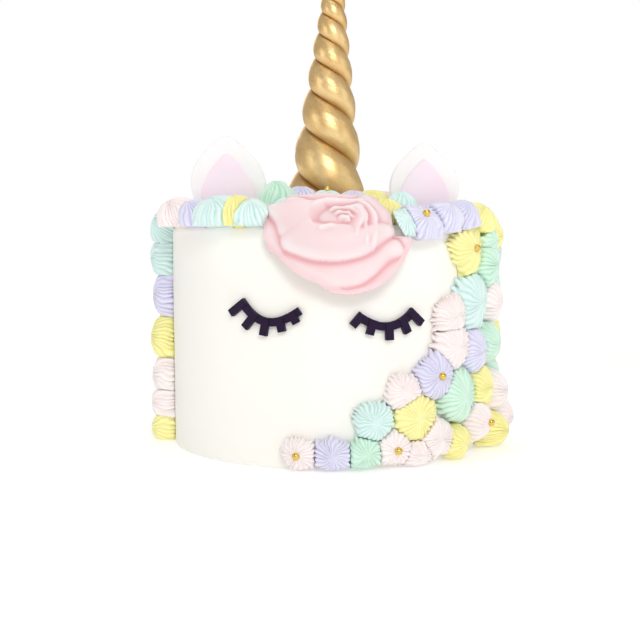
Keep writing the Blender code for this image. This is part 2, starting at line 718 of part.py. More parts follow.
def build_star(star, name):
    """Grooved dome drawn out to a point, held inside its own share of the room."""
    rings = []
    for share, width, groove in (STAR_RINGS if star.ridges == SHOWN_RIDGES else PLAIN_RINGS):
        ring = []
        middle = star.foot + star.axis * star.rise * share
        for i in range(2 * star.ridges):
            angle = math.pi * i / star.ridges + STAR_TWIST * share
            heading = star.right * math.cos(angle) + star.up * math.sin(angle)
            dip = GROOVE_DEPTH * groove if i % 2 else 0.0
            full = star.radius * width * (1 - dip)
            ring.append(furthest_inside(star, middle, heading, full, share == 0.0))
        rings.append(ring)
    bm = bmesh.new()
    loft(bm, rings, first_tip=star.foot if star.kind == "wall" else None,
         last_tip=star.foot + star.axis * star.rise)
    return add_object(name, bm, star.colour, 60.0)


def build_pearl(star, name):
    bm = bmesh.new()
    place = star.foot + star.axis * (star.rise + PEARL_RADIUS * PEARL_SHOWING)
    bmesh.ops.create_icosphere(bm, subdivisions=1, radius=PEARL_RADIUS,
                               matrix=Matrix.Translation(place))
    return add_object(name, bm, star.colour, 60.0)


def build_stars(stars):
    """Builds every star and fuses those that share a node, with the pearls that lie on them."""
    nodes = {}
    for index, star in enumerate(stars):
        parts = nodes.setdefault(star.node, [])
        body = build_star(star, "piece" + str(index))
        if star.kind == "edge":
            carve(body, build_cake("seat", SEAT_GAP, 48))
        parts.append(body)
        if star.pearl:
            parts.append(build_pearl(star, "pearl" + str(index)))
    for node, parts in nodes.items():
        whole = fuse(parts, node)
        if len(parts) > 3:
            thin(whole, MANE_SHARE)


def main():
    clear_scene()
    build_cake("cake_iced")
    horn = build_horn()
    build_ears()
    rose = build_rose()
    build_lashes("lashes_left", ((-28.5, 76.9), (-8.9, 74.2)), 68.6,
                 ((-33.1, 72.2), (-27.8, 65.8), (-21.1, 62.4), (-14.7, 64.3), (-9.9, 68.4)))
    build_lashes("lashes_right", ((9.3, 72.0), (28.9, 73.6)), 66.6,
                 ((7.7, 67.2), (13.3, 63.0), (20.1, 60.3), (26.6, 63.4), (31.9, 67.6)))
    ears = [[bpy.data.objects["ear_" + side], bpy.data.objects["ear_inner_" + side]]
            for side in EAR_PLACES]
    stars = [wall_star(*row) for row in WALL_STARS]
    stars += [edge_star(*row) for row in EDGE_STARS]
    stars += [top_star(*row) for row in TOP_STARS]
    stars += collar_stars() + hidden_stars()
    set_limits(stars, [hull_tree(group) for group in [[horn], [rose]] + ears])
    build_stars(stars)


main()
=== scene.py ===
"""Unicorn birthday cake: iced cake, piped mane, rose, lashes, leaf ears and a twisted gold horn.

Metres, +Z up, the face looks towards -Y. An angle round the cake is in degrees from the face,
growing towards +X.
"""
import math
import random

import bmesh
import bpy
import numpy as np
from mathutils import Matrix, Vector, noise
from mathutils.bvhtree import BVHTree


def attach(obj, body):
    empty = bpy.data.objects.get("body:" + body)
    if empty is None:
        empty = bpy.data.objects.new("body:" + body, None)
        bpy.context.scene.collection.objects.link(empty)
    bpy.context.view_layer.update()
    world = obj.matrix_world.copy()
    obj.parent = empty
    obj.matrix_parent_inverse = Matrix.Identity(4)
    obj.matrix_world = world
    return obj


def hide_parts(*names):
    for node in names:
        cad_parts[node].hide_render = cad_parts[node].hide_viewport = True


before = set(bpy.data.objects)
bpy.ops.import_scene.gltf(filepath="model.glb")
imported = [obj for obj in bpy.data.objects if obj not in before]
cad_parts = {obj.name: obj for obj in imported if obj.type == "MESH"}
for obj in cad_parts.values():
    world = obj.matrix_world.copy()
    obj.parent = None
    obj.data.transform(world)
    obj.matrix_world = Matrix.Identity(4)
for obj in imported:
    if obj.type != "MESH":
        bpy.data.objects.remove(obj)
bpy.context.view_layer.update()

scene = bpy.context.scene


def linear(code):
    """Scene-linear colour of an sRGB hex code."""
    parts = [int(code[i:i + 2], 16) / 255 for i in (1, 3, 5)]
    return (*[c / 12.92 if c <= 0.04045 else ((c + 0.055) / 1.055) ** 2.4 for c in parts], 1.0)


def feed(tree, target, sockets):
    """Gives each named input of a shader node a number, a colour or another node's output."""
    for key, value in sockets.items():
        if isinstance(value, bpy.types.NodeSocket):
            tree.links.new(value, target.inputs[key])
        else:
            target.inputs[key].default_value = value


def node(tree, kind, sockets=(), **settings):
    """Adds a shader node with its settings and what its inputs are fed."""
    made = tree.nodes.new("ShaderNode" + kind)
    for key, value in settings.items():
        setattr(made, key, value)
    feed(tree, made, dict(sockets))
    return made


def material(name):
    """A new material, its node tree and the place on the object that its textures follow."""
    made = bpy.data.materials.new(name)
    made.use_nodes = True
    return made, made.node_tree, node(made.node_tree, "TexCoord").outputs["Object"]


def mesh_of(bm, name):
    """Turns a bmesh into a mesh and frees it."""
    made = bpy.data.meshes.new(name)
    bm.to_mesh(made)
    bm.free()
    return made


def placed(name, data):
    """A new object with some data, linked into the scene."""
    made = bpy.data.objects.new(name, data)
    scene.collection.objects.link(made)
    return made


# Studio: a wide pale floor with a painted glow, stronger further out, a white surround and large
# soft lights from all sides and above. The camera looks at the cake from level with its top edge,
# slightly down.
FLOOR_RADIUS, FLOOR_DROP, NEAR_GLOW, FAR_GLOW = 6.0, -0.0002, 0.28, 0.66
CAMERA_PLACE = Vector((-0.00366, -0.5474, 0.10715))
CAMERA_PITCH = 0.0798
CAMERA_LENS = 57.296
LAMPS_AIM = Vector((0, 0, 0.1))

bm = bmesh.new()
bmesh.ops.create_circle(bm, cap_ends=True, segments=96, radius=FLOOR_RADIUS)
floor_mesh = mesh_of(bm, "floor")
floor = placed("floor", floor_mesh)
floor.location.z = FLOOR_DROP
painted, tree, place = material("white_studio_floor_with_painted_glow")
grain = node(tree, "TexNoise", {"Scale": 40.0, "Detail": 2.0})
shade = node(tree, "MapRange", {"Value": grain.outputs["Fac"], "To Min": 0.86, "To Max": 0.88})
# Painted glow: the floor emits light of its own, weak near the cake and stronger further out.
far = node(tree, "VectorMath", {0: place}, operation="LENGTH")
glow = node(tree, "MapRange", {"Value": far.outputs["Value"], "From Min": 0.5, "From Max": 1.8,
                               "To Min": NEAR_GLOW, "To Max": FAR_GLOW})
feed(tree, tree.nodes["Principled BSDF"], {
    "Base Color": shade.outputs[0], "Roughness": 0.7, "Emission Color": (1, 1, 1, 1),
    "Emission Strength": glow.outputs[0]})
floor_mesh.materials.append(painted)

for name, place, size, power in (
        ("key_front", (0.25, -1.4, 0.95), 0.6, 8.3),
        ("fill_left", (-1.25, -0.75, 0.55), 0.6, 1.9),
        ("fill_right", (1.25, -0.55, 0.55), 0.9, 1.6),
        ("top", (0.1, 0.1, 1.5), 1.1, 4.8),
        ("back", (-0.3, 1.5, 0.8), 1.0, 4.0)):
    lamp = bpy.data.lights.new(name, "AREA")
    lamp.shape = "DISK"
    lamp.size = size
    lamp.energy = power
    holder = placed(name, lamp)
    holder.location = place
    ahead = LAMPS_AIM - holder.location
    holder.rotation_euler = ahead.to_track_quat("-Z", "Y").to_euler()

world = bpy.data.worlds.new("white_surround")
world.use_nodes = True
tree = world.node_tree
tree.nodes.clear()
ray = node(tree, "LightPath")
seen = node(tree, "Background", {"Color": (1, 1, 1, 1), "Strength": 1.0})
lit = node(tree, "Background", {"Color": (1, 0.985, 0.97, 1), "Strength": 0.46})
choice = node(tree, "MixShader", {0: ray.outputs["Is Camera Ray"], 1: lit.outputs[0],
                                  2: seen.outputs[0]})
node(tree, "OutputWorld", {"Surface": choice.outputs[0]})
scene.world = world
scene.view_settings.view_transform = "Standard"

camera = placed("camera", bpy.data.cameras.new("camera"))
camera.data.lens = CAMERA_LENS
camera.data.clip_start = 0.01
camera.location = CAMERA_PLACE
camera.rotation_euler = (math.pi / 2 - CAMERA_PITCH, 0, 0)
scene.camera = camera


# Iced cake: sponge under one thick coat of white buttercream, spread with a palette knife and
# scraped round with a straight edge, which leaves a true wall, soft corners and faint marks.
CAKE_RADIUS, CAKE_HEIGHT = 0.082, 0.1133
CAKE_TAPER, TOP_ROUNDING, FOOT_ROUNDING = 0.0005, 0.003, 0.0008
KNIFE_DEPTH = 0.00022

profile = [(0, 0), (CAKE_RADIUS * 0.5, 0), (CAKE_RADIUS - CAKE_TAPER - FOOT_ROUNDING, 0)]
for i in range(45):
    z = FOOT_ROUNDING + (CAKE_HEIGHT - TOP_ROUNDING - FOOT_ROUNDING) * i / 44
    profile.append((CAKE_RADIUS - CAKE_TAPER * (1 - z / CAKE_HEIGHT), z))
for i in range(1, 9):
    bend = math.pi / 2 * i / 8
    profile.append((CAKE_RADIUS - TOP_ROUNDING * (1 - math.cos(bend)),
                    CAKE_HEIGHT - TOP_ROUNDING * (1 - math.sin(bend))))
profile += [(CAKE_RADIUS * share, CAKE_HEIGHT) for share in (0.9, 0.75, 0.55, 0.3, 0)]
bm = bmesh.new()
verts = [bm.verts.new((r, 0, z)) for r, z in profile]
edges = [bm.edges.new(pair) for pair in zip(verts, verts[1:])]
bmesh.ops.spin(bm, geom=verts + edges, cent=(0, 0, 0), axis=(0, 0, 1), angle=math.tau,
               steps=224, use_merge=True)
bmesh.ops.remove_doubles(bm, verts=bm.verts, dist=1e-6)
for vert in bm.verts:
    reach = math.hypot(vert.co.x, vert.co.y)
    if reach > CAKE_RADIUS * 0.9 and vert.co.z > 0.002:
        wave = noise.noise((vert.co.x * 22, vert.co.y * 22, vert.co.z * 34))
        out = KNIFE_DEPTH * (wave - 1.0)
        vert.co.x *= 1 + out / reach
        vert.co.y *= 1 + out / reach
bmesh.ops.recalc_face_normals(bm, faces=bm.faces)
coat_mesh = mesh_of(bm, "icing_coat")
coat_mesh.shade_smooth()
icing_coat = placed("icing_coat", coat_mesh)
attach(icing_coat, "root")
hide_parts("cake_iced")

# The eye sees warm white fat icing: soft, slightly see-through, satin rather than wet, with long
# level scrape marks and a few pinhead air bubbles.
scraped, tree, place = material("scraped_white_buttercream")
level = node(tree, "Mapping", {"Vector": place, "Scale": (9, 9, 260)})
marks = node(tree, "TexNoise", {"Vector": level.outputs[0], "Scale": 1.0, "Detail": 4.0})
blotch = node(tree, "TexNoise", {"Vector": place, "Scale": 28.0, "Detail": 2.0})
tint = node(tree, "Mix", {0: blotch.outputs["Fac"], 6: linear("#fcf9ef"), 7: linear("#fefdf8")},
            data_type="RGBA")
bubbles = node(tree, "TexVoronoi", {"Vector": place, "Scale": 230.0})
pits = node(tree, "MapRange", {"Value": bubbles.outputs["Distance"], "From Min": 0.02,
                               "From Max": 0.12})
soft = node(tree, "Bump", {"Height": marks.outputs["Fac"], "Strength": 0.10, "Distance": 0.001})
fine = node(tree, "Bump", {"Height": pits.outputs[0], "Normal": soft.outputs[0],
                           "Strength": 0.06, "Distance": 0.0004})
sheen = node(tree, "MapRange", {"Value": marks.outputs["Fac"], "To Min": 0.40, "To Max": 0.56})
feed(tree, tree.nodes["Principled BSDF"], {
    "Base Color": tint.outputs[2], "Roughness": sheen.outputs[0], "Normal": fine.outputs[0],
    "IOR": 1.46, "Subsurface Weight": 0.15, "Subsurface Radius": (1.0, 0.8, 0.6),
    "Subsurface Scale": 0.003})
coat_mesh.materials.append(scraped)


# Horn: two ropes of sugar paste twisted together round a stick into a leaning cone, dried hard
# and brushed all over with gold dust.
HORN_FOOT = Vector((-0.0012, 0.0, CAKE_HEIGHT + 0.00035))
HORN_LEAN, HORN_VANISH, HORN_TIP, HORN_SLOPE = 0.0375, 0.276, 0.263, 0.143
GROOVE_RATIO, GROOVE_HEIGHT, EVEN_HEIGHT = 0.822, 0.1437, 0.232
HORN_WAIST, LOBE_POWER, HORN_CLOSING = 0.72, 0.55, 0.008
HORN_SIDES, HORN_LEVELS, HORN_DENT = 96, 460, 0.012


def horn_twist(height):
    """Turn of the ropes at a height: quicker as the cone narrows, then even near the tip."""
    pace = math.pi / -math.log(GROOVE_RATIO)
    narrow = HORN_VANISH - min(height, EVEN_HEIGHT)
    turned = pace * math.log((HORN_VANISH - GROOVE_HEIGHT) / narrow)
    return turned + pace * max(0.0, height - EVEN_HEIGHT) / narrow


low, high = HORN_FOOT.z, HORN_TIP - 0.00005
fine_heights = np.linspace(low, high, 9000)
turns = np.array([horn_twist(h) for h in fine_heights])
levels = np.interp(np.linspace(turns[0], turns[-1], HORN_LEVELS), turns, fine_heights)
bm = bmesh.new()
bmesh.ops.create_grid(bm, x_segments=HORN_SIDES, y_segments=HORN_LEVELS + 1, size=0.5)
depths = {}
for vert in bm.verts:
    column = round((vert.co.x + 0.5) * HORN_SIDES)
    row = round((vert.co.y + 0.5) * (HORN_LEVELS + 1))
    height = levels[min(max(row - 1, 0), HORN_LEVELS - 1)]
    closing = math.sqrt(max(0.0, min(1.0, (HORN_TIP - height) / HORN_CLOSING)))
    reach = (HORN_VANISH - height) * HORN_SLOPE * closing
    lobe = math.tau * column / HORN_SIDES
    crest = abs(math.cos(lobe)) ** LOBE_POWER
    dent = 1 + HORN_DENT * noise.noise((math.cos(lobe) * 2, math.sin(lobe) * 2, height * 90))
    swell = (HORN_WAIST + (1 - HORN_WAIST) * crest) * dent / (1 + HORN_DENT)
    angle = lobe - horn_twist(height) + math.pi / 2
    if row in (0, HORN_LEVELS + 1):
        swell = 0.0
    vert.co = HORN_FOOT + Vector((
        HORN_LEAN * (height - HORN_FOOT.z) + reach * swell * math.cos(angle),
        reach * swell * math.sin(angle), height - HORN_FOOT.z))
    depths[tuple(round(c, 7) for c in vert.co)] = max(0.0, 1 - crest * 1.25)
bmesh.ops.remove_doubles(bm, verts=bm.verts, dist=2e-6)
bmesh.ops.recalc_face_normals(bm, faces=bm.faces)
horn_mesh = mesh_of(bm, "horn_gilded")
horn_mesh.shade_smooth()
groove_shade = horn_mesh.attributes.new("groove_shade", "FLOAT", "POINT")
for i, vert in enumerate(horn_mesh.vertices):
    groove_shade.data[i].value = depths.get(tuple(round(c, 7) for c in vert.co), 0.0)
horn_gilded = placed("horn_gilded", horn_mesh)
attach(horn_gilded, "root")
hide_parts("horn")

# The eye sees satin antique gold with coarse dust on the crests. The bright specks are partly paler
# dust and partly painted glints; the darker flanks and the dark brown down in the grooves are
# painted shade.
gilded, tree, place = material("gold_dusted_sugar_paste")
depth = node(tree, "Attribute", attribute_name="groove_shade")
dust_and_glints = node(tree, "TexNoise", {"Vector": place, "Scale": 1500.0, "Detail": 3.0, "Roughness": 0.7})
patch = node(tree, "TexNoise", {"Vector": place, "Scale": 120.0, "Detail": 3.0})
glint = node(tree, "TexVoronoi", {"Vector": place, "Scale": 2100.0})
rub = node(tree, "MapRange", {"Value": patch.outputs["Fac"], "From Min": 0.25, "From Max": 0.75})
gold = node(tree, "Mix", {0: rub.outputs[0], 6: linear("#e5ba77"), 7: linear("#f6d79c")},
            data_type="RGBA")
# Painted shade: the ropes darken towards the grooves, and the grooves themselves are painted dark
# brown.
flank_shade = node(tree, "MapRange", {"Value": depth.outputs["Fac"], "From Max": 0.7, "To Max": 0.5})
groove_line_shade = node(tree, "MapRange", {"Value": depth.outputs["Fac"], "From Min": 0.72,
                                   "From Max": 1.0})
# Painted glints: pale specks in the gold, partly the dust's own paler flecks and partly painted
# sparkle.
dust_glint = node(tree, "MapRange", {"Value": dust_and_glints.outputs["Fac"], "From Min": 0.52, "From Max": 0.72,
                                "To Max": 0.45})
gold_with_dust_glint = node(tree, "Mix", {0: dust_glint.outputs[0], 6: gold.outputs[2], 7: linear("#fff0c8")},
              data_type="RGBA")
shaded_flanks = node(tree, "Mix", {0: flank_shade.outputs[0], 6: gold_with_dust_glint.outputs[2], 7: linear("#a8753a")},
            data_type="RGBA")
tone = node(tree, "Mix", {0: groove_line_shade.outputs[0], 6: shaded_flanks.outputs[2], 7: linear("#66441a")},
            data_type="RGBA")
rough = node(tree, "MapRange", {"Value": dust_and_glints.outputs["Fac"], "From Min": 0.3, "From Max": 0.7,
                                "To Min": 0.3, "To Max": 0.44})
grit = node(tree, "Bump", {"Height": dust_and_glints.outputs["Fac"], "Strength": 0.18, "Distance": 0.0004})
flake = node(tree, "Bump", {"Height": glint.outputs["Distance"], "Normal": grit.outputs[0],
                            "Strength": 0.15, "Distance": 0.0002})
feed(tree, tree.nodes["Principled BSDF"], {
    "Base Color": tone.outputs[2], "Roughness": rough.outputs[0], "Normal": flake.outputs[0],
    "Metallic": 0.85})
horn_mesh.materials.append(gilded)


# Ears: leaf shapes cut from rolled white sugar paste, with softened edges, each with a smaller
# pink leaf stuck on its front. They stand on sticks pushed into the cake.
EAR_Y, EAR_THICKNESS, EAR_INNER_THICKNESS, EAR_GAP = -0.0365, 0.004, 0.0016, 0.0004
EAR_WIDTH, EAR_HEIGHT, EAR_BORDER, EAR_LIFT = 0.0365, 0.0435, 0.0058, 0.004
EAR_PLACES = {"left": (-0.0481, 0.055, 1.015), "right": (0.0484, 0.016, 0.935)}
EAR_INNER_SPREAD, EAR_INNER_TAPER, EAR_CLEARANCE = 1.28, 0.6, 0.0003
EAR_HALF = ((0.30, 0.0), (0.41, 0.15), (0.485, 0.34), (0.50, 0.50), (0.43, 0.68), (0.29, 0.83),
            (0.14, 0.945), (0.045, 0.99))
EAR_DEPTH_OF_EDGE = {"white": 0.0011, "pink": 0.0007}

ear_materials = {}
for colour, crest, deep in (("white", "#fdfbfb", "#f8f5f6"), ("pink", "#ffeef7", "#fde4ef")):
    # The eye sees smooth rolled paste, matt with cornflour, a touch see-through at the edges.
    paste, tree, place = material("rolled_sugar_paste_" + colour)
    cloud = node(tree, "TexNoise", {"Vector": place, "Scale": 60.0, "Detail": 3.0})
    tint = node(tree, "Mix", {0: cloud.outputs["Fac"], 6: linear(deep), 7: linear(crest)},
                data_type="RGBA")
    flour = node(tree, "TexNoise", {"Vector": place, "Scale": 900.0, "Detail": 2.0})
    skin = node(tree, "Bump", {"Height": flour.outputs["Fac"], "Strength": 0.08,
                               "Distance": 0.0003})
    dusty = node(tree, "MapRange", {"Value": flour.outputs["Fac"], "To Min": 0.45, "To Max": 0.65})
    feed(tree, tree.nodes["Principled BSDF"], {
        "Base Color": tint.outputs[2], "Roughness": dusty.outputs[0], "Normal": skin.outputs[0],
        "Subsurface Weight": 0.2, "Subsurface Scale": 0.003})
    ear_materials[colour] = paste

for side, (offset, lean, scale) in EAR_PLACES.items():
    front = EAR_Y - EAR_THICKNESS / 2
    for colour, width, height, lift, face_y, back_y, target in (
            ("white", EAR_WIDTH, EAR_HEIGHT, 0.0, front, front + EAR_THICKNESS, "ear_" + side),
            ("pink", EAR_WIDTH - 2 * EAR_BORDER, EAR_HEIGHT - 2.2 * EAR_BORDER, EAR_LIFT,
             front - EAR_GAP - EAR_INNER_THICKNESS, front - EAR_GAP, "ear_inner_" + side)):
        spread, taper = (1, 0) if colour == "white" else (EAR_INNER_SPREAD, EAR_INNER_TAPER)
        knots = [(x * width * (spread - taper * z), lift + z * height) for x, z in EAR_HALF]
        outline = knots + [(0.0, lift + height)] + [(-x, z) for x, z in reversed(knots)]
        smooth = []
        for i in range(len(outline) - 1):
            p0 = Vector(outline[max(i - 1, 0)])
            p1, p2 = Vector(outline[i]), Vector(outline[i + 1])
            p3 = Vector(outline[min(i + 2, len(outline) - 1)])
            for k in range(5):
                t = k / 5
                smooth.append(0.5 * (2 * p1 + (p2 - p0) * t + (2 * p0 - 5 * p1 + 4 * p2 - p3)
                                     * t * t + (3 * p1 - p0 - 3 * p2 + p3) * t ** 3))
        smooth.append(Vector(outline[-1]))
        bm = bmesh.new()
        ring = [bm.verts.new((offset + scale * p.x - lean * p.y, face_y,
                              CAKE_HEIGHT + EAR_CLEARANCE + scale * p.y)) for p in smooth]
        solid = bmesh.ops.extrude_face_region(bm, geom=[bm.faces.new(ring)])
        moved = [v for v in solid["geom"] if isinstance(v, bmesh.types.BMVert)]
        bmesh.ops.translate(bm, verts=moved, vec=(0, back_y - face_y, 0))
        rims = [e for e in bm.edges if abs(e.verts[0].co.y - e.verts[1].co.y) < 1e-7]
        bmesh.ops.bevel(bm, geom=rims, offset=EAR_DEPTH_OF_EDGE[colour], segments=4,
                        profile=0.5, affect="EDGES", material=-1)
        bmesh.ops.recalc_face_normals(bm, faces=bm.faces)
        mesh = mesh_of(bm, target + "_leaf")
        mesh.shade_smooth()
        mesh.set_sharp_from_angle(angle=math.radians(40))
        mesh.materials.append(ear_materials[colour])
        leaf = placed(target + "_leaf", mesh)
        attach(leaf, "root")
        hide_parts(target)


# Closed eyes: for each, a thin lid strip of near-black sugar paste bent along a sagging curve,
# with five short wider strips laid over it as lashes, all stuck to the icing.
LID_WIDTH, LID_THICKNESS, LASH_WIDTH, LASH_THICKNESS = 0.0039, 0.0015, 0.0037, 0.0021
STRIP_EASING, STRIP_SUNK, STRIP_PROUD, STRIP_OVERLAP = 0.1, 0.0003, 0.0003, 0.0001
EYES = {
    "left": (((-28.5, 76.9), (-8.9, 74.2)), 68.6,
             ((-33.1, 72.2), (-27.8, 65.8), (-21.1, 62.4), (-14.7, 64.3), (-9.9, 68.4))),
    "right": (((9.3, 72.0), (28.9, 73.6)), 66.6,
              ((7.7, 67.2), (13.3, 63.0), (20.1, 60.3), (26.6, 63.4), (31.9, 67.6))),
}

# The eye sees dark aubergine paste with a soft sheen, dusty on the cut edges.
dark_paste, tree, place = material("rolled_sugar_paste_aubergine")
cloud = node(tree, "TexNoise", {"Vector": place, "Scale": 300.0, "Detail": 4.0})
tint = node(tree, "Mix", {0: cloud.outputs["Fac"], 6: linear("#180823"), 7: linear("#271038")},
            data_type="RGBA")
flour = node(tree, "TexNoise", {"Vector": place, "Scale": 1400.0, "Detail": 2.0})
skin = node(tree, "Bump", {"Height": flour.outputs["Fac"], "Strength": 0.15, "Distance": 0.0002})
dusty = node(tree, "MapRange", {"Value": cloud.outputs["Fac"], "To Min": 0.38, "To Max": 0.6})
feed(tree, tree.nodes["Principled BSDF"], {
    "Base Color": tint.outputs[2], "Roughness": dusty.outputs[0], "Normal": skin.outputs[0],
    "Specular IOR Level": 0.2})

for side, (ends, dip, tips) in EYES.items():
    (a0, z0), (a1, z1) = ends
    lid = []
    for i in range(25):
        t = i / 24
        sag = 4 * t * (1 - t)
        high = (z0 + (z1 - z0) * t) * (1 - sag) + dip * sag
        lid.append(Vector((math.radians(a0 + (a1 - a0) * t) * CAKE_RADIUS, high / 1000)))
    runs = [(lid, LID_WIDTH, LID_THICKNESS)]
    for angle, high in tips:
        tip = Vector((math.radians(angle) * CAKE_RADIUS, high / 1000))
        root = min(lid, key=lambda p: (p - tip).length)
        along = (tip - root).normalized()
        start = root - along * (LID_WIDTH / 2 - STRIP_OVERLAP)
        runs.append(([start.lerp(tip, k / 6) for k in range(7)], LASH_WIDTH, LASH_THICKNESS))
    bm = bmesh.new()
    for path, width, top in runs:
        bar = bmesh.new()
        bmesh.ops.create_cube(bar, size=1.0)
        lengthwise = [e for e in bar.edges if abs(e.verts[0].co.x - e.verts[1].co.x) > 0.5]
        bmesh.ops.bevel(bar, geom=lengthwise, offset=STRIP_EASING, segments=3, profile=0.5,
                        affect="EDGES", material=-1)
        lengthwise = [e for e in bar.edges if abs(e.verts[0].co.x - e.verts[1].co.x) > 0.5]
        bmesh.ops.subdivide_edges(bar, edges=lengthwise, cuts=len(path) - 2)
        for vert in bar.verts:
            t = (vert.co.x + 0.5) * (len(path) - 1)
            i = min(int(t), len(path) - 2)
            spot = path[i].lerp(path[i + 1], t - i)
            ahead = path[min(i + 2, len(path) - 1)]
            behind = path[max(i - 1, 0)]
            along = (ahead - behind).normalized()
            across = Vector((-along.y, along.x))
            flat = spot + across * vert.co.y * width
            angle = flat.x / CAKE_RADIUS
            thick = top + STRIP_SUNK + STRIP_PROUD
            out = CAKE_RADIUS - STRIP_SUNK + (vert.co.z + 0.5) * thick
            vert.co = (math.sin(angle) * out, -math.cos(angle) * out, flat.y)
        part = mesh_of(bar, "strip")
        bm.from_mesh(part)
        bpy.data.meshes.remove(part)
    bmesh.ops.recalc_face_normals(bm, faces=bm.faces)
    mesh = mesh_of(bm, "closed_eye_" + side)
    mesh.shade_smooth()
    mesh.set_sharp_from_angle(angle=math.radians(50))
    mesh.materials.append(dark_paste)
    closed_eye = placed("closed_eye_" + side, mesh)
    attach(closed_eye, "root")
    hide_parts("lashes_" + side)


# Rose: an open bloom of broad buttercream petals, each pressed on with a flat curved tip over a
# mound of icing, outer petals first and the tight bud last, against the front top edge.
ROSE_CENTRE = Vector((0.0046, -0.076, 0.105))
ROSE_ELEVATION = math.radians(30.2)
MOUND, HEART = ((0, 0, 0), (22.0, 17.0, 9.0)), ((1, 2, 8.0), (15.0, 12.0, 8.3))
END_SINK, RUFFLE = 3.0, 0.25
BLOOM_STEP, BLOOM_SOFTNESS, BLOOM_THICKNESS = 0.3, 0.37, 1.3
BLOOM_RIGHT, BLOOM_UP = (-37.2, 37.2), (-30.0, 24.0)
LINE_REACH, FOLD_REACH, HOLLOW_REACH, RIM_ROUNDS = 0.8, 1.5, 3.5, 8

# Petals: name, lip from one end to the other, foot from one end to the other, both as right, up
# and out of the bloom in mm, then how far the middle swells, how far the lip rolls over and how
# thick it is. They lie so close that they read as one bloom, with a soft step at each lip.
OUTER_PETALS = (
    ("skirt_right", ((-17.3, -17.7, 0), (-9.5, -24, 0.5), (0.5, -27.4, 0.5), (10.5, -26.8, 0.5),
                     (20.5, -22.8, 0.8), (27.7, -14.9, 1.5), (31.7, -7.7, 2.5), (34.5, -1.2, 4),
                     (30, 1.6, 5)), ((-5, -5, -3), (12, -1, -3)), 3.0, 1.2, 1.8),
    ("skirt_front", ((-29.5, -3.7, 3.5), (-27.7, -10, 3), (-19.3, -18.4, 3), (-9.4, -23.9, 3),
                     (-0.5, -25.6, 3.2), (8, -24, 3.2), (15.4, -19.7, 3.5), (22.8, -13.3, 4),
                     (29.3, -8.6, 4.5), (29.5, -2.4, 5)),
     ((-10, -2, 1.5), (0, -2, 5), (12, 0, 4.5)), 4.0, 1.6, 1.9),
    ("left_under", ((-31.8, 6.1, 3), (-34.5, 0, 2), (-32.3, -5, 2), (-27.7, -9.6, 2),
                    (-21.8, -12.6, 2)), ((-10, 2, -1), (-6, -6, -1)), 2.0, 1.0, 1.6),
    ("left", ((-31.5, 16.5, 3.5), (-34.1, 11, 5.5), (-34.4, 2.7, 6), (-33.6, -2.1, 5.5),
              (-30, -6.5, 5), (-25, -9.5, 5), (-20.5, -10.5, 5)),
     ((-15, 7, 5), (-15, 2, 8), (-12, -4, 7)), 2.0, 1.0, 1.8),
    ("top_back", ((-25.9, 16.8, 6), (-21.8, 21.4, 6.5), (-12.7, 21.6, 7), (0.9, 21.9, 7),
                  (15.9, 20.4, 7), (19.5, 16.3, 7)), ((-8, 7, 3), (8, 7, 3)), 2.0, 0.8, 1.6),
)
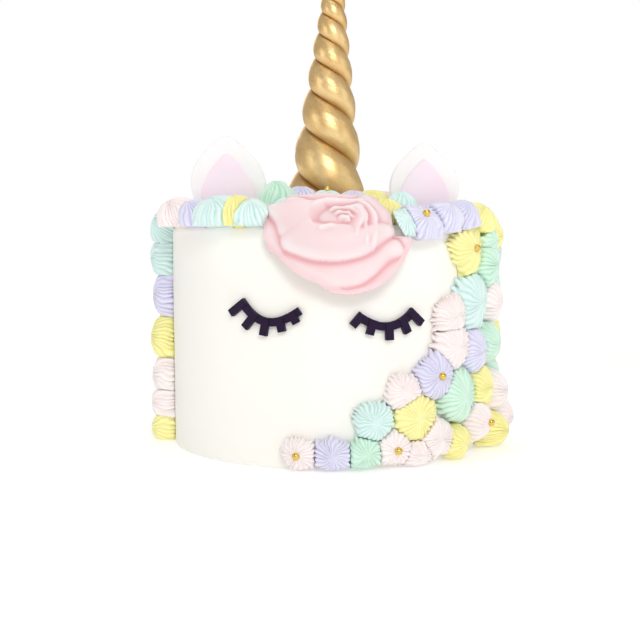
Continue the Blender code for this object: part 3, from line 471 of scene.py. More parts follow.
INNER_PETALS = (
    ("right", ((8.2, 20.9, 8), (15.9, 19.4, 8), (21.8, 13.3, 8), (24.5, 7.8, 8), (25, 2.5, 7.2),
               (21.5, -1.5, 7.5), (16, -3, 8)), ((8, 11, 10), (12, 5, 12), (11, -3, 12)), 2.2,
     0.8, 1.5),
    ("front", ((-21, 7, 9.6), (-25, 3, 9), (-26, -2, 9), (-23.8, -8.4, 9.3), (-12.8, -14.3, 10.3),
               (-0.5, -15.4, 10.8), (10.5, -12.9, 10.8), (18.2, -8.1, 10.4), (25, -0.8, 9.8),
               (24.5, 4.5, 9.4)),
     ((-12, 9, 13), (-12.5, 4, 14.2), (-10, 1, 15), (-5, 0.5, 15.7), (3, 0.3, 16), (10, -1, 15.4),
      (14, 4, 13.8)), 1.8, 0.9, 1.5),
    ("upper_left", ((-20, 20.4, 9), (-28.2, 15.6, 9), (-33.6, 14.3, 8.5), (-31.8, 9.8, 9.6),
                    (-28.5, 4, 10), (-26, -2, 9.9), (-22.5, -7, 9.4)),
     ((-9, 14, 12.5), (-13, 10, 13.6), (-13, 5, 14), (-11, 1, 14.6)), 1.5, 0.9, 1.5),
    ("crease", ((-9.5, -6.6, 14.8), (-9.8, -3.9, 15.9), (-8.6, -1.1, 16.6), (-5.9, 0.3, 17),
                (-2.3, 0.8, 17.2)),
     ((2.3, -10.1, 12.2), (3.2, -7.2, 13.2), (4.5, -4.5, 14.2), (5, -1.8, 15)), 0.3, 0.4, 1.0),
    ("inner_top", ((-17.7, 12.4, 13), (-14.5, 15.2, 13.5), (-8.2, 16.2, 14), (0.9, 16.7, 14),
                   (10, 16, 14), (15.5, 13.9, 13)), ((-6, 6, 11), (8, 6, 11)), -1.0, 0.5, 1.2),
    ("cup_left", ((-3.6, 15.5, 14.2), (-10.9, 14.2, 14.6), (-14.3, 10.2, 14.7), (-14.2, 5.2, 15),
                  (-11.8, 1.9, 15.4), (-5.9, 0.9, 16), (1.4, 1.2, 16.6)),
     ((-2, 8, 13), (-4, 5, 14), (-1, 3, 15.4)), -1.0, 0.4, 1.0),
    ("fold_outer", ((7.7, 14.7, 14.7), (13.6, 13, 15), (16.4, 8.9, 15.2), (17.7, 3.6, 15.6),
                    (17.3, -3.4, 15.6), (15.5, -10.6, 14.4)),
     ((6, 8, 12), (9, 2, 14.5), (9, -5, 14.5)), -0.5, 0.5, 1.1),
    ("fold_middle", ((5.5, 12.5, 16), (10.9, 10.9, 16.5), (12.7, 7, 16.9), (13.1, 2, 16.8),
                     (13, -4.9, 16.2), (12.4, -11, 15)), ((5, 7, 13), (6, 3, 15), (7, -5, 15)),
     -0.3, 0.4, 1.0),
    ("fold_inner", ((2.3, 10.3, 17.4), (9, 10.4, 17.4), (11.2, 7.2, 17.6), (11.3, 2.6, 17.6),
                    (9.6, -1.8, 17.3), (7.9, -5.4, 16.6), (4.6, -9.4, 15.2)),
     ((2, 7, 14), (5, 3, 15.8), (2, -3, 15.6)), -0.2, 0.5, 1.1),
    ("bud_back", ((-4.9, 8.6, 16.8), (-0.5, 10.2, 17.4), (4.3, 9.6, 17.8), (8.3, 7.2, 18),
                  (9.3, 4.2, 17.8)),
     ((-3, 5, 15), (1, 6, 15.2), (4, 5, 15.6), (6, 2.5, 15.8)), -1.2, 0.3, 1.0),
    ("bud_middle", ((-2.9, 6.2, 17.2), (1.1, 7.4, 18), (5.1, 6.2, 18.4), (7.1, 3.2, 18.2)),
     ((-1.5, 3.5, 15.6), (2, 3.8, 15.8), (4.5, 1.5, 16)), -1.0, 0.3, 0.9),
    ("bud_tip", ((-0.5, 3.8, 17.5), (2.3, 4.8, 18.4), (4.7, 3.5, 18.6), (5, 1.7, 18.2)),
     ((0, 1.8, 16.2), (2, 2, 16.2), (3, 0.8, 16.2)), -0.5, 0.2, 0.9),
)


def along(points, t):
    """Points of the smooth curve through some points, t from 0 to 1."""
    knots = np.array(points, float)
    knots = np.vstack((2 * knots[0] - knots[1], knots, 2 * knots[-1] - knots[-2]))
    spans = len(points) - 1
    i = np.minimum((t * spans).astype(int), spans - 1)
    f = (t * spans - i)[..., None]
    p0, p1, p2, p3 = (knots[i + k] for k in range(4))
    return 0.5 * (2 * p1 + (p2 - p0) * f + (2 * p0 - 5 * p1 + 4 * p2 - p3) * f ** 2
                  + (3 * p1 - p0 - 3 * p2 + p3) * f ** 3)


def petal_surface(lip, foot, swell, roll, u, t):
    """Middle surface of a petal: u runs across it and t from the foot to the lip."""
    near = along(foot, u)
    span = along(lip, u) - near
    spots = near + span * t[..., None]
    ruffle = RUFFLE * np.sin(u * 17 + len(lip)) * t ** 4
    spots[..., 2] += swell * 4 * t * (1 - t) + swell * 0.5 * t + ruffle
    spots[..., 2] -= roll * np.maximum(0, (t - 0.8) / 0.2) ** 2 + END_SINK * np.abs(2 * u - 1) ** 9
    flat = span[..., :2] / np.linalg.norm(span[..., :2], axis=-1, keepdims=True)
    spots[..., :2] += flat * ruffle[..., None]
    return spots


rose_right = Vector((1, 0, 0))
rose_out = Vector((0, -math.cos(ROSE_ELEVATION), math.sin(ROSE_ELEVATION)))
rose_up = rose_out.cross(rose_right)
rose = bmesh.new()
rose.verts.layers.float.new("edge")
fold_shade_layer = rose.verts.layers.float.new("fold_shade")
# The mound under the petals gets the full painted shade colour where it shows through gaps.
mound = bmesh.ops.create_uvsphere(rose, u_segments=48, v_segments=24, radius=1.0)
for vert in mound["verts"]:
    vert.co = Vector(MOUND[0]) + Vector(vert.co.to_tuple()) * Vector(MOUND[1])
    vert[fold_shade_layer] = 1.0

columns = round((BLOOM_RIGHT[1] - BLOOM_RIGHT[0]) / BLOOM_STEP)
rows = round((BLOOM_UP[1] - BLOOM_UP[0]) / BLOOM_STEP)
right_of = np.linspace(*BLOOM_RIGHT, columns + 1)[:, None]
up_of = np.linspace(*BLOOM_UP, rows + 1)[None, :]
inside = 1 - ((right_of - HEART[0][0]) / HEART[1][0]) ** 2
inside = inside - ((up_of - HEART[0][1]) / HEART[1][1]) ** 2
tall = np.where(inside > 0, HEART[0][2] + HEART[1][2] * np.sqrt(np.maximum(inside, 0)), -99.0)
u, t = (np.ravel(a) for a in np.meshgrid(np.linspace(0, 1, 520), np.linspace(0, 1, 260)))
for name, lip, foot, swell, roll, thickness in OUTER_PETALS + INNER_PETALS:
    spots = petal_surface(lip, foot, swell, roll, u, t)
    i = np.round((spots[:, 0] - BLOOM_RIGHT[0]) / BLOOM_STEP).astype(int)
    j = np.round((spots[:, 1] - BLOOM_UP[0]) / BLOOM_STEP).astype(int)
    np.maximum.at(tall, (i, j), spots[:, 2] + thickness / 2)
covered = (tall > -50).astype(float)


def softened(field, size):
    """Blurs a field over the bloom only, with a bell of a given size in mm."""
    reach = round(3 * size / BLOOM_STEP)
    bell = np.exp(-0.5 * (np.arange(-reach, reach + 1) * BLOOM_STEP / size) ** 2)
    both = []
    for part in (field * covered, covered):
        for axis in (0, 1):
            part = np.apply_along_axis(np.convolve, axis, part, bell, mode="same")
        both.append(part)
    return both[0] / np.maximum(both[1], 1e-9)


tall = softened(np.where(covered > 0, tall, 0), BLOOM_SOFTNESS)
within = covered.copy()
for _ in range(6):
    for axis in (0, 1):
        within = np.minimum(within, np.minimum(np.roll(within, 1, axis), np.roll(within, -1, axis)))
# How far each spot lies below what is round it, for the painted shade in the tint: folds, wide
# hollows, fine lines.
hollow = (softened(tall, FOLD_REACH) - tall) / 0.5 * np.where(within > 0, 1, 0.15)
shaded = np.clip(hollow, 0, 0.75) * (0.5 + 0.5 * np.clip(inside * 3, 0, 1))
shaded += 0.3 * np.tanh(np.maximum(softened(tall, HOLLOW_REACH) - tall, 0) / 1.5) * (within > 0)
shaded += 0.4 * np.clip((softened(tall, LINE_REACH) - tall) / 0.4, 0, 1) * (within > 0)
shaded = np.minimum(shaded, 1)
bloom = bmesh.new()
edge_layer, bloom_fold_shade_layer = (bloom.verts.layers.float.new(key) for key in ("edge", "fold_shade"))
bmesh.ops.create_grid(bloom, x_segments=columns, y_segments=rows, size=0.5)
outside = []
for vert in bloom.verts:
    i, j = round((vert.co.x + 0.5) * columns), round((vert.co.y + 0.5) * rows)
    if not covered[i, j]:
        outside.append(vert)
    vert.co = (right_of[i, 0], up_of[0, j], tall[i, j])
    # Painted highlight: spots that stand above what is round them, the lips most, are made paler.
    vert[edge_layer] = min(max(0.1 - 0.9 * hollow[i, j], 0.0), 1.0)
    vert[bloom_fold_shade_layer] = shaded[i, j]
bmesh.ops.delete(bloom, geom=outside, context="VERTS")
for _ in range(RIM_ROUNDS):
    rim = [v for v in bloom.verts if v.is_boundary]
    bmesh.ops.smooth_vert(bloom, verts=rim, factor=0.5, use_axis_x=True, use_axis_y=True,
                          use_axis_z=True)
bmesh.ops.recalc_face_normals(bloom, faces=bloom.faces)
if sum(face.normal.z for face in bloom.faces) < 0:
    bmesh.ops.reverse_faces(bloom, faces=bloom.faces)
bmesh.ops.solidify(bloom, geom=bloom.faces, thickness=BLOOM_THICKNESS)
part = mesh_of(bloom, "bloom")
rose.from_mesh(part)
bpy.data.meshes.remove(part)
for vert in rose.verts:
    p, q, s = vert.co / 1000
    vert.co = ROSE_CENTRE + rose_right * p + rose_up * q + rose_out * s
bmesh.ops.recalc_face_normals(rose, faces=rose.faces)
rose_mesh = mesh_of(rose, "open_rose")
rose_mesh.shade_smooth()
open_rose = placed("open_rose", rose_mesh)
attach(open_rose, "root")
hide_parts("rose")

# The eye sees smooth pale pink icing. The near-white along the thin lips is a painted highlight,
# and the deeper pink inside the folds and hollows is painted shade.
petal_icing, tree, place = material("smooth_pink_buttercream")
lip_highlight_input = node(tree, "Attribute", attribute_name="edge")
cloud = node(tree, "TexNoise", {"Vector": place, "Scale": 70.0, "Detail": 2.0})
body = node(tree, "Mix", {0: cloud.outputs["Fac"], 6: linear("#f2d0d3"), 7: linear("#f5d9db")},
            data_type="RGBA")
fold_shade_input = node(tree, "Attribute", attribute_name="fold_shade")
# Painted shade: the pink deepens in folds, hollows and fine lines.
fold_shade_share = node(tree, "MapRange", {"Value": fold_shade_input.outputs["Fac"], "To Max": 0.9})
inside = node(tree, "Mix", {0: fold_shade_share.outputs[0], 6: body.outputs[2], 7: linear("#e8a9af")},
              data_type="RGBA")
# Painted highlight: near-white where the icing stands proud, as along the lips.
lip_highlight_share = node(tree, "MapRange", {"Value": lip_highlight_input.outputs["Fac"], "To Max": 0.6})
tint = node(tree, "Mix", {0: lip_highlight_share.outputs[0], 6: inside.outputs[2], 7: linear("#fdf0f0")},
            data_type="RGBA")
streak = node(tree, "TexNoise", {"Vector": place, "Scale": 420.0, "Detail": 3.0})
skin = node(tree, "Bump", {"Height": streak.outputs["Fac"], "Strength": 0.06, "Distance": 0.0004})
sheen = node(tree, "MapRange", {"Value": cloud.outputs["Fac"], "To Min": 0.36, "To Max": 0.5})
feed(tree, tree.nodes["Principled BSDF"], {
    "Base Color": tint.outputs[2], "Roughness": sheen.outputs[0], "Normal": skin.outputs[0],
    "Subsurface Weight": 0.45, "Subsurface Radius": (1.0, 0.6, 0.55), "Subsurface Scale": 0.003})
rose_mesh.materials.append(petal_icing)


# Mane: many buttercream stars of five pastel colours, each squeezed from a finely toothed closed
# tip straight on to the icing, so they crowd and flatten against each other.
CELL_OVERLAP, TOP_CORNER, FLOOR_CLEARANCE = 0.0001, 0.003, 0.0002
HULL_CLEARANCE, FLOOR_STOP, LEAST_SHARE, HEART_SHARE = 0.0003, 0.0003, 0.3, 0.4
# Each colour: the pale ridge colour and a deeper colour, mixed in a little at random and more down
# in the grooves as painted shade.
STAR_COLOURS = {
    "pink": ("#fff6f5", "#fde0dd"), "lavender": ("#e9e8f8", "#c2bee8"),
    "mint": ("#e0f8e9", "#a9e5c5"), "aqua": ("#e6f8f5", "#b3e3db"),
    "yellow": ("#fffbb6", "#f8e578"),
}
# A star's form, as shares of its ball, radius or rise: the part that is its foot, how full its side
# is, its drawn-out point, how deep its grooves go and how far it fills the room left to it
FOOT_SHARE, SIDE_POWER, POINT_HEIGHT, POINT_WIDTH = 0.12, 0.62, 0.07, 0.2
GROOVE_DROP, GROOVE_CUT, RIM_CUT, FILLING = 0.11, 0.14, 0.13, 0.24
# In metres: how softly a neighbour stops it, how ragged and crinkled it is, how far it sinks in
SOFT_STOP, RAGGED, CRINKLED, EDGE_SINK, WALL_SINK = 0.0005, 0.0005, 0.0002, 0.007, 0.0006

# Stars on the wall: node, colour, angle, height, radius, rise, pearl (lengths in mm)
WALL_STARS = (
    ("star_yellow_cheek", "yellow", 53.6, 102.5, 12.6, 7.5, True),
    ("star_mint_temple", "mint", 67.0, 106.5, 9.5, 10.5, False),
    ("star_mint_temple", "mint", 66.5, 94.5, 11.5, 11.5, False),
    ("star_yellow_temple", "yellow", 77.0, 108.5, 9.5, 11.0, False),
    ("star_aqua_large", "aqua", 57.0, 76.5, 14.0, 8.5, False),
    ("star_pink_rear", "pink", 75.0, 75.5, 11.0, 11.5, False),
    ("star_pink_upper", "pink", 44.0, 70.5, 10.6, 7.5, False),
    ("star_pink_lower", "pink", 44.8, 55.5, 11.6, 8.0, False),
    ("star_lavender_side", "lavender", 57.5, 52.0, 10.8, 9.5, False),
    ("star_mint_side", "mint", 70.5, 54.0, 10.5, 11.5, False),
    ("star_yellow_side", "yellow", 62.5, 33.0, 11.0, 11.0, False),
    ("star_lavender_pearl", "lavender", 37.0, 42.5, 11.6, 7.5, True),
    ("star_mint_large", "mint", 48.0, 32.0, 13.0, 8.5, False),
    ("star_pink_small", "pink", 24.8, 36.0, 9.4, 6.5, False),
    ("star_yellow_small", "yellow", 29.0, 23.5, 11.6, 7.4, False),
    ("star_aqua_low", "aqua", 14.3, 23.0, 9.8, 7.5, False),
    ("star_mint_low", "mint", 11.7, 8.2, 8.2, 8.5, False),
    ("star_lavender_low", "lavender", 1.4, 7.8, 8.8, 8.0, False),
    ("star_pink_low_left", "pink", -9.4, 8.0, 8.7, 8.0, True),
    ("star_pink_low_pearl", "pink", 21.0, 9.6, 8.8, 8.5, True),
    ("star_pink_low_small", "pink", 30.0, 6.2, 8.0, 8.0, False),
    ("star_pink_low_middle", "pink", 36.5, 13.0, 10.2, 9.5, False),
    ("star_yellow_low", "yellow", 46.5, 8.0, 8.6, 10.0, False),
    ("star_pink_right_pearl", "pink", 58.5, 16.5, 10.5, 12.5, True),
    ("star_yellow_right", "yellow", 72.0, 8.5, 10.0, 16.0, False),
    ("star_pink_right", "pink", 76.5, 29.0, 11.0, 14.5, False),
    ("star_pink_right_low", "pink", 88.0, 12.0, 12.0, 18.5, False),
    ("star_aqua_left", "aqua", -88.0, 97.0, 10.5, 12.0, False),
    ("star_lavender_left", "lavender", -88.0, 77.5, 11.2, 10.8, False),
    ("star_yellow_left", "yellow", -88.5, 55.0, 11.8, 12.2, False),
    ("star_pink_left", "pink", -88.0, 34.5, 10.6, 11.5, False),
    ("star_pink_left_low", "pink", -87.0, 20.0, 9.0, 11.8, False),
    ("star_yellow_left_low", "yellow", -86.5, 6.0, 9.0, 12.0, False),
)
# Stars on the top edge: node, colour, angle, elevation of the axis, radius, rise, how far the
# star may hang below the edge, pearl
EDGE_STARS = (
    ("star_aqua_left_top", "aqua", -86.0, 32.0, 10.5, 12.0, 12.0, False),
    ("star_pink_brow", "pink", -66.0, 62.0, 10.8, 14.5, 0.3, False),
    ("star_lavender_brow", "lavender", -50.5, 61.0, 9.4, 13.5, 0.3, False),
    ("star_aqua_brow", "aqua", -38.0, 60.0, 12.0, 15.0, 0.3, False),
    ("star_yellow_brow", "yellow", -30.5, 68.0, 8.6, 14.5, 0.3, False),
    ("star_aqua_rose", "aqua", -24.5, 62.0, 9.4, 13.0, 0.3, False),
    ("star_aqua_fringe", "aqua", 24.5, 36.0, 8.4, 8.0, 5.5, False),
    ("star_lavender_fringe", "lavender", 30.8, 41.0, 11.2, 9.5, 6.5, True),
    ("star_lavender_crown", "lavender", 41.0, 52.0, 9.6, 12.5, 3.0, False),
    ("star_lavender_rear", "lavender", 51.0, 60.0, 9.6, 13.5, 2.0, False),
    ("star_yellow_crown", "yellow", 63.0, 56.0, 10.5, 12.5, 3.0, False),
)
# Stars standing on the top: node, colour, x, y, radius, rise, pearl
TOP_STARS = (
    ("star_mint_crown", "mint", -25.0, -40.0, 11.0, 22.0, False),
    ("star_aqua_behind_rose", "aqua", -19.5, -57.0, 9.6, 13.5, False),
    ("star_aqua_ear", "aqua", 35.5, -50.0, 9.4, 16.5, False),
    ("star_yellow_fringe", "yellow", 27.5, -62.5, 8.0, 12.5, False),
)
COLLAR = (
    (0, "aqua", 18.0), (27, "lavender", 18.0), (50, "yellow", 18.5), (74, "pink", 18.5),
    (108, "mint", 17.0), (144, "lavender", 16.0), (180, "aqua", 16.0), (216, "pink", 16.0),
    (252, "yellow", 17.0), (286, "aqua", 17.5), (333, "lavender", 20.0),
)
COLLAR_REACH, COLLAR_RADIUS = 30.0, 11.4
BACK_FIRST, BACK_LAST, BACK_COLUMNS, BACK_ROWS, BACK_STEP = 91, 255, 12, 5, 23.6
BACK_LOWEST, BACK_STAGGER, BACK_HIGHEST, BACK_RADIUS, BACK_RISE = 8.5, 5, 104.5, 13.8, 11.5
TOP_ARCS = ((73, 80, 263, 11), (51, 62, 290, 10))
TOP_RADIUS, TOP_RISE = 13.4, 13.0
BACK_DRIFT, BACK_SWAY = 1.2, 1
# Teeth of the tip for a large star, a small one and a plain one behind; large from this radius on
LARGE_TEETH, SMALL_TEETH, PLAIN_TEETH, LARGE_RADIUS = (24, 26, 28), (20, 22), (18, 20), 0.0095
# Meridians to a tooth and rings
FINE_MESH, PLAIN_MESH = (6, 28), (5, 18)
COLOUR_ORDER = ("pink", "mint", "lavender", "yellow", "aqua")


def turn(angle):
    """Unit vector out of the cake at an angle in degrees from the face."""
    return Vector((math.sin(math.radians(angle)), -math.cos(math.radians(angle)), 0))


class Star:
    """One piped star: its foot, axis, size and the planes that its neighbours hold it behind."""

    def __init__(self, owner, colour, foot, axis, radius, rise, pearl, kind, fine=True):
        self.owner, self.colour, self.foot, self.axis = owner, colour, foot, axis.normalized()
        self.radius, self.rise, self.pearl = radius / 1000, rise / 1000, pearl
        self.kind, self.fine = kind, fine
        level = Vector((0, 0, 1)) if abs(self.axis.z) < 0.9 else Vector((0, 1, 0))
        self.right = level.cross(self.axis).normalized()
        self.up = self.axis.cross(self.right)
        self.heart = foot + self.axis * self.rise * HEART_SHARE
        self.limits, self.stops = [], [(Vector((0, 0, FLOOR_STOP)), Vector((0, 0, -1)))]


stars = []
for owner, colour, angle, high, radius, rise, pearl in WALL_STARS:
    stars.append(Star(owner, colour, turn(angle) * CAKE_RADIUS + Vector((0, 0, high / 1000)),
                      turn(angle), radius, rise, pearl, "wall"))
for owner, colour, angle, elevation, radius, rise, hang, pearl in EDGE_STARS:
    axis = turn(angle) * math.cos(math.radians(elevation))
    axis.z = math.sin(math.radians(elevation))
    corner = turn(angle) * (CAKE_RADIUS - TOP_CORNER) + Vector((0, 0, CAKE_HEIGHT - TOP_CORNER))
    stars.append(Star(owner, colour, corner + axis * TOP_CORNER, axis, radius, rise, pearl,
                      "edge"))
    stars[-1].stops.append((Vector((0, 0, CAKE_HEIGHT - hang / 1000)), Vector((0, 0, -1))))
for owner, colour, x, y, radius, rise, pearl in TOP_STARS:
    stars.append(Star(owner, colour, Vector((x / 1000, y / 1000, CAKE_HEIGHT)),
                      Vector((0, 0, 1)), radius, rise, pearl, "top"))
for angle, colour, rise in COLLAR:
    foot = turn(angle) * COLLAR_REACH / 1000 + Vector((0, 0, CAKE_HEIGHT))
    stars.append(Star("mane_collar", colour, foot, Vector((0, 0, 1)), COLLAR_RADIUS, rise,
                      angle == 0, "top"))
draw = random.Random(7)
for column in range(BACK_COLUMNS):
    for row in range(BACK_ROWS):
        if (column, row) == (0, 0):
            continue
        high = BACK_LOWEST + row * BACK_STEP + BACK_STAGGER * (column % 2)
        high = min(high + draw.uniform(-BACK_DRIFT, BACK_DRIFT), BACK_HIGHEST)
        colour = COLOUR_ORDER[(2 * column + row + draw.choice((0, 0, 1))) % 5]
        owner = "mane_back_right" if column < BACK_COLUMNS // 2 else "mane_back_left"
        angle = BACK_FIRST + column * (BACK_LAST - BACK_FIRST) / (BACK_COLUMNS - 1)
        angle += draw.uniform(-BACK_SWAY, BACK_SWAY)
        stars.append(Star(owner, colour, turn(angle) * CAKE_RADIUS + Vector((0, 0, high / 1000)),
                          turn(angle), BACK_RADIUS, BACK_RISE, False, "wall", False))
for reach, first, last, count in TOP_ARCS:
    for i in range(count):
        foot = turn(first + (last - first) * i / (count - 1)) * reach / 1000
        foot.z = CAKE_HEIGHT
        stars.append(Star("mane_top", COLOUR_ORDER[(3 * i + reach) % 5], foot,
                          Vector((0, 0, 1)), TOP_RADIUS, TOP_RISE, False, "top", False))

hulls = []
for group in (("horn",), ("rose",), ("ear_left", "ear_inner_left"),
              ("ear_right", "ear_inner_right")):
    bm = bmesh.new()
    for name in group:
        bm.from_mesh(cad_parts[name].data)
    hull = bmesh.ops.convex_hull(bm, input=bm.verts, use_existing_faces=False)
    loose = {v for v in hull["geom_interior"] + hull["geom_unused"]
             if isinstance(v, bmesh.types.BMVert) and v.is_valid}
    bmesh.ops.delete(bm, geom=list(loose), context="VERTS")
    hulls.append(BVHTree.FromBMesh(bm))
    bm.free()
for star in stars:
    for other in stars:
        across = other.heart - star.heart
        distance = across.length
        if other is star or distance > star.radius + other.radius + 0.5 * max(star.rise,
                                                                              other.rise):
            continue
        share = (distance ** 2 + star.radius ** 2 - other.radius ** 2) / (2 * distance)
        share = min(max(share, LEAST_SHARE * distance), (1 - LEAST_SHARE) * distance)
        across.normalize()
        star.limits.append((star.heart + across * (share + CELL_OVERLAP), across))
    for hull in hulls:
        spot, _, _, distance = hull.find_nearest(star.heart)
        if spot is not None and distance < 2 * star.radius + star.rise:
            away = (spot - star.heart).normalized()
            star.limits.append((spot - away * HULL_CLEARANCE, away))

spheres = {}


def star_mesh(star, name, draw):
    """Toothed dome: a sphere's rings and meridians drawn out into the star and its grooves."""
    teeth = draw.choice(LARGE_TEETH if star.radius > LARGE_RADIUS else SMALL_TEETH)
    if not star.fine:
        teeth = draw.choice(PLAIN_TEETH)
    steps, rings = FINE_MESH if star.fine else PLAIN_MESH
    if (teeth, rings) not in spheres:
        bm = bmesh.new()
        bmesh.ops.create_uvsphere(bm, u_segments=teeth * steps, v_segments=rings, radius=1.0)
        ball = mesh_of(bm, "ball")
        spheres[teeth, rings] = ball
    mesh = spheres[teeth, rings].copy()
    mesh.name = name
    flat = np.empty(len(mesh.vertices) * 3)
    mesh.vertices.foreach_get("co", flat)
    ball = flat.reshape(-1, 3)
    phi = np.arctan2(ball[:, 1], ball[:, 0])
    tau = np.arccos(np.clip(-ball[:, 2], -1, 1)) / math.pi
    w = np.clip((tau - FOOT_SHARE) / (1 - FOOT_SHARE), 0, 1)
    bend = w * math.pi / 2
    wobble = 1 + 0.045 * np.cos(2 * (phi - draw.uniform(0, 6))) \
        + 0.03 * np.cos(3 * (phi - draw.uniform(0, 6)))
    side = (0.97 + 0.03 * np.minimum(w / 0.25, 1)) * np.cos(bend) ** SIDE_POWER
    high = star.rise * 0.94 * np.sin(bend)
    high += star.rise * POINT_HEIGHT * np.exp(-(np.cos(bend) / POINT_WIDTH) ** 2) * (w > 0.5)
    sink = EDGE_SINK if star.kind == "edge" else WALL_SINK
    high = np.where(tau <= FOOT_SHARE + 1e-6, -sink, high)
    axis, right, up = (np.array(v) for v in (star.axis, star.right, star.up))
    middle = np.array(star.foot) + high[:, None] * axis
    heading = np.cos(phi)[:, None] * right + np.sin(phi)[:, None] * up
    rooms = []
    for planes in (star.limits, star.stops):
        room = np.full(len(phi), 1.0)
        for spot, normal in planes:
            facing = heading @ np.array(normal)
            ahead = (np.array(spot) - middle) @ np.array(normal)
            free = np.where(facing > 1e-4, ahead / np.maximum(facing, 1e-4), 1.0)
            room = np.minimum(room, np.maximum(free, 0.0))
        rooms.append(room)
    crowded = np.clip((1.45 - rooms[0] / (star.radius * wobble)) / 0.35, 0, 1)
    room = np.minimum(*rooms)
    reach = star.radius * wobble * side * (0.97 + FILLING * crowded)
    reach = np.where(tau < FOOT_SHARE, reach * tau / FOOT_SHARE, reach)
    reach = -SOFT_STOP * np.logaddexp(-reach / SOFT_STOP, -room / SOFT_STOP)
    reach = np.maximum(reach, 0.0)
    swirl = (phi - draw.uniform(0.05, 0.35) * w + 0.06 * np.sin(3 * phi + draw.uniform(0, 6))
             + 0.05 * np.sin(5 * phi + draw.uniform(0, 6))
             + 0.05 * np.sin(8 * w + 2 * phi + draw.uniform(0, 6)))
    step = teeth * swirl / math.tau
    crease = (1 - np.abs(np.sin(math.pi * step))) ** 1.4
    valley = 0.65 * crease + 0.35 * np.abs(2 * (step % 1) - 1)
    lengths, cuts = (np.array([draw.uniform(-1, 1) for _ in range(teeth)]) for _ in range(2))
    length = lengths[np.floor(step).astype(int) % teeth]
    cut = 0.8 + 0.2 * cuts[np.round(step).astype(int) % teeth]
    inner = np.clip(reach / (0.4 * star.radius), 0, 1)
    rim = np.clip(1 - w / 0.25, 0, 1)
    depth = crease * inner
    ridge = (1 - valley) * inner
    crinkle = np.sin(11 * w + 5 * np.cos(2 * phi) + draw.uniform(0, 6)) * np.sin(
        9 * phi + 7 * w + draw.uniform(0, 6))
    low = high - valley * cut * inner * star.rise * GROOVE_DROP * np.sin(bend)
    low += (length * RAGGED + crinkle * CRINKLED) * ridge * np.sin(bend)
    reach = reach * (1 - valley * cut * inner * (GROOVE_CUT + RIM_CUT * rim) * np.cos(bend * 0.8)
                     + ridge * np.cos(bend) * (0.03 * length + 0.07 * rim * (1 + length)))
    spots = np.array(star.foot) + low[:, None] * axis + reach[:, None] * heading
    if star.kind == "wall":
        aside = (spots - np.array(star.foot)) @ right
        spots -= axis * (aside ** 2 / (2 * CAKE_RADIUS))[:, None]
    spots[:, 2] = np.maximum(spots[:, 2], FLOOR_CLEARANCE)
    mesh.vertices.foreach_set("co", spots.ravel())
    mesh.attributes.new("groove_shade", "FLOAT", "POINT").data.foreach_set("value", depth)
    tone = np.full(len(phi), draw.uniform(0, 1))
    mesh.attributes.new("tone", "FLOAT", "POINT").data.foreach_set("value", tone)
    mesh.shade_smooth()
    mesh.update()
    return mesh


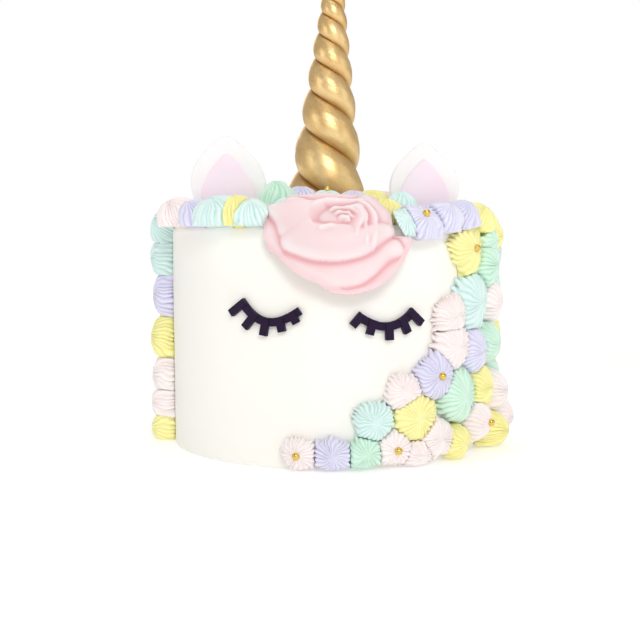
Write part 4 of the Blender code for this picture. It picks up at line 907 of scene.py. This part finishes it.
star_materials = {}
for colour, (crest, deep) in STAR_COLOURS.items():
    # The eye sees soft pastel icing, palest on the ridges and stronger down in the grooves, where
    # the deeper colour is painted shade, with a fine grain of sugar and air and a satin sheen.
    piped, tree, place = material("piped_buttercream_" + colour)
    depth = node(tree, "Attribute", attribute_name="groove_shade")
    shift = node(tree, "Attribute", attribute_name="tone")
    cloud = node(tree, "TexNoise", {"Vector": place, "Scale": 160.0, "Detail": 3.0})
    tone = node(tree, "MapRange", {"Value": shift.outputs["Fac"], "To Min": 0.0, "To Max": 0.16})
    # Painted shade: the colour deepens towards the bottom of each groove.
    groove_shading = node(tree, "MapRange", {"Value": depth.outputs["Fac"], "From Max": 0.9,
                                    "To Max": 0.55})
    mixed = node(tree, "Math", {0: tone.outputs[0], 1: groove_shading.outputs[0]}, operation="ADD")
    uneven = node(tree, "MapRange", {"Value": cloud.outputs["Fac"], "To Min": -0.06,
                                     "To Max": 0.06})
    share = node(tree, "Math", {0: mixed.outputs[0], 1: uneven.outputs[0]}, operation="ADD",
                 use_clamp=True)
    tint = node(tree, "Mix", {0: share.outputs[0], 6: linear(crest), 7: linear(deep)},
                data_type="RGBA")
    sugar = node(tree, "TexNoise", {"Vector": place, "Scale": 1300.0, "Detail": 3.0})
    skin = node(tree, "Bump", {"Height": sugar.outputs["Fac"], "Strength": 0.12,
                               "Distance": 0.0003})
    sheen = node(tree, "MapRange", {"Value": sugar.outputs["Fac"], "To Min": 0.38, "To Max": 0.55})
    feed(tree, tree.nodes["Principled BSDF"], {
        "Base Color": tint.outputs[2], "Roughness": sheen.outputs[0], "Normal": skin.outputs[0],
        "Subsurface Weight": 0.35, "Subsurface Radius": (1.0, 0.8, 0.7),
        "Subsurface Scale": 0.003})
    star_materials[colour] = piped

draw = random.Random(11)
groups = {}
for star in stars:
    name = star.owner
    if not star.fine or star.owner == "mane_collar":
        name += "_" + star.colour
    groups.setdefault((name, star.owner, star.colour), []).append(star)
for (name, owner, colour), members in groups.items():
    bm = bmesh.new()
    for star in members:
        part = star_mesh(star, name, draw)
        bm.from_mesh(part)
        bpy.data.meshes.remove(part)
    bmesh.ops.recalc_face_normals(bm, faces=bm.faces)
    mesh = mesh_of(bm, name + "_piped")
    mesh.shade_smooth()
    mesh.materials.append(star_materials[colour])
    piped = placed(name + "_piped", mesh)
    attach(piped, "root")
    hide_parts(owner)


# Pearls: hard sugar balls with a gold coat, one pressed into the middle of some of the stars.
PEARL_RADIUS, PEARL_SHOWING = 0.00185, 0.2

# The eye sees bright yellow gold with small soft highlights and a slightly uneven skin.
gold_coat, tree, place = material("gold_coated_sugar_pearl")
lumps = node(tree, "TexNoise", {"Vector": place, "Scale": 700.0, "Detail": 2.0})
tint = node(tree, "Mix", {0: lumps.outputs["Fac"], 6: linear("#d6ab3c"), 7: linear("#f6dc86")},
            data_type="RGBA")
skin = node(tree, "Bump", {"Height": lumps.outputs["Fac"], "Strength": 0.15, "Distance": 0.0003})
rough = node(tree, "MapRange", {"Value": lumps.outputs["Fac"], "To Min": 0.2, "To Max": 0.34})
feed(tree, tree.nodes["Principled BSDF"], {
    "Base Color": tint.outputs[2], "Roughness": rough.outputs[0], "Normal": skin.outputs[0],
    "Metallic": 1.0})
for star in stars:
    if not star.pearl:
        continue
    bm = bmesh.new()
    bmesh.ops.create_icosphere(bm, subdivisions=4, radius=PEARL_RADIUS, matrix=Matrix.Translation(
        star.foot + star.axis * (star.rise + PEARL_RADIUS * PEARL_SHOWING)))
    mesh = mesh_of(bm, star.owner + "_bead")
    mesh.shade_smooth()
    mesh.materials.append(gold_coat)
    bead = placed(star.owner + "_bead", mesh)
    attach(bead, "root")
    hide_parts(star.owner)
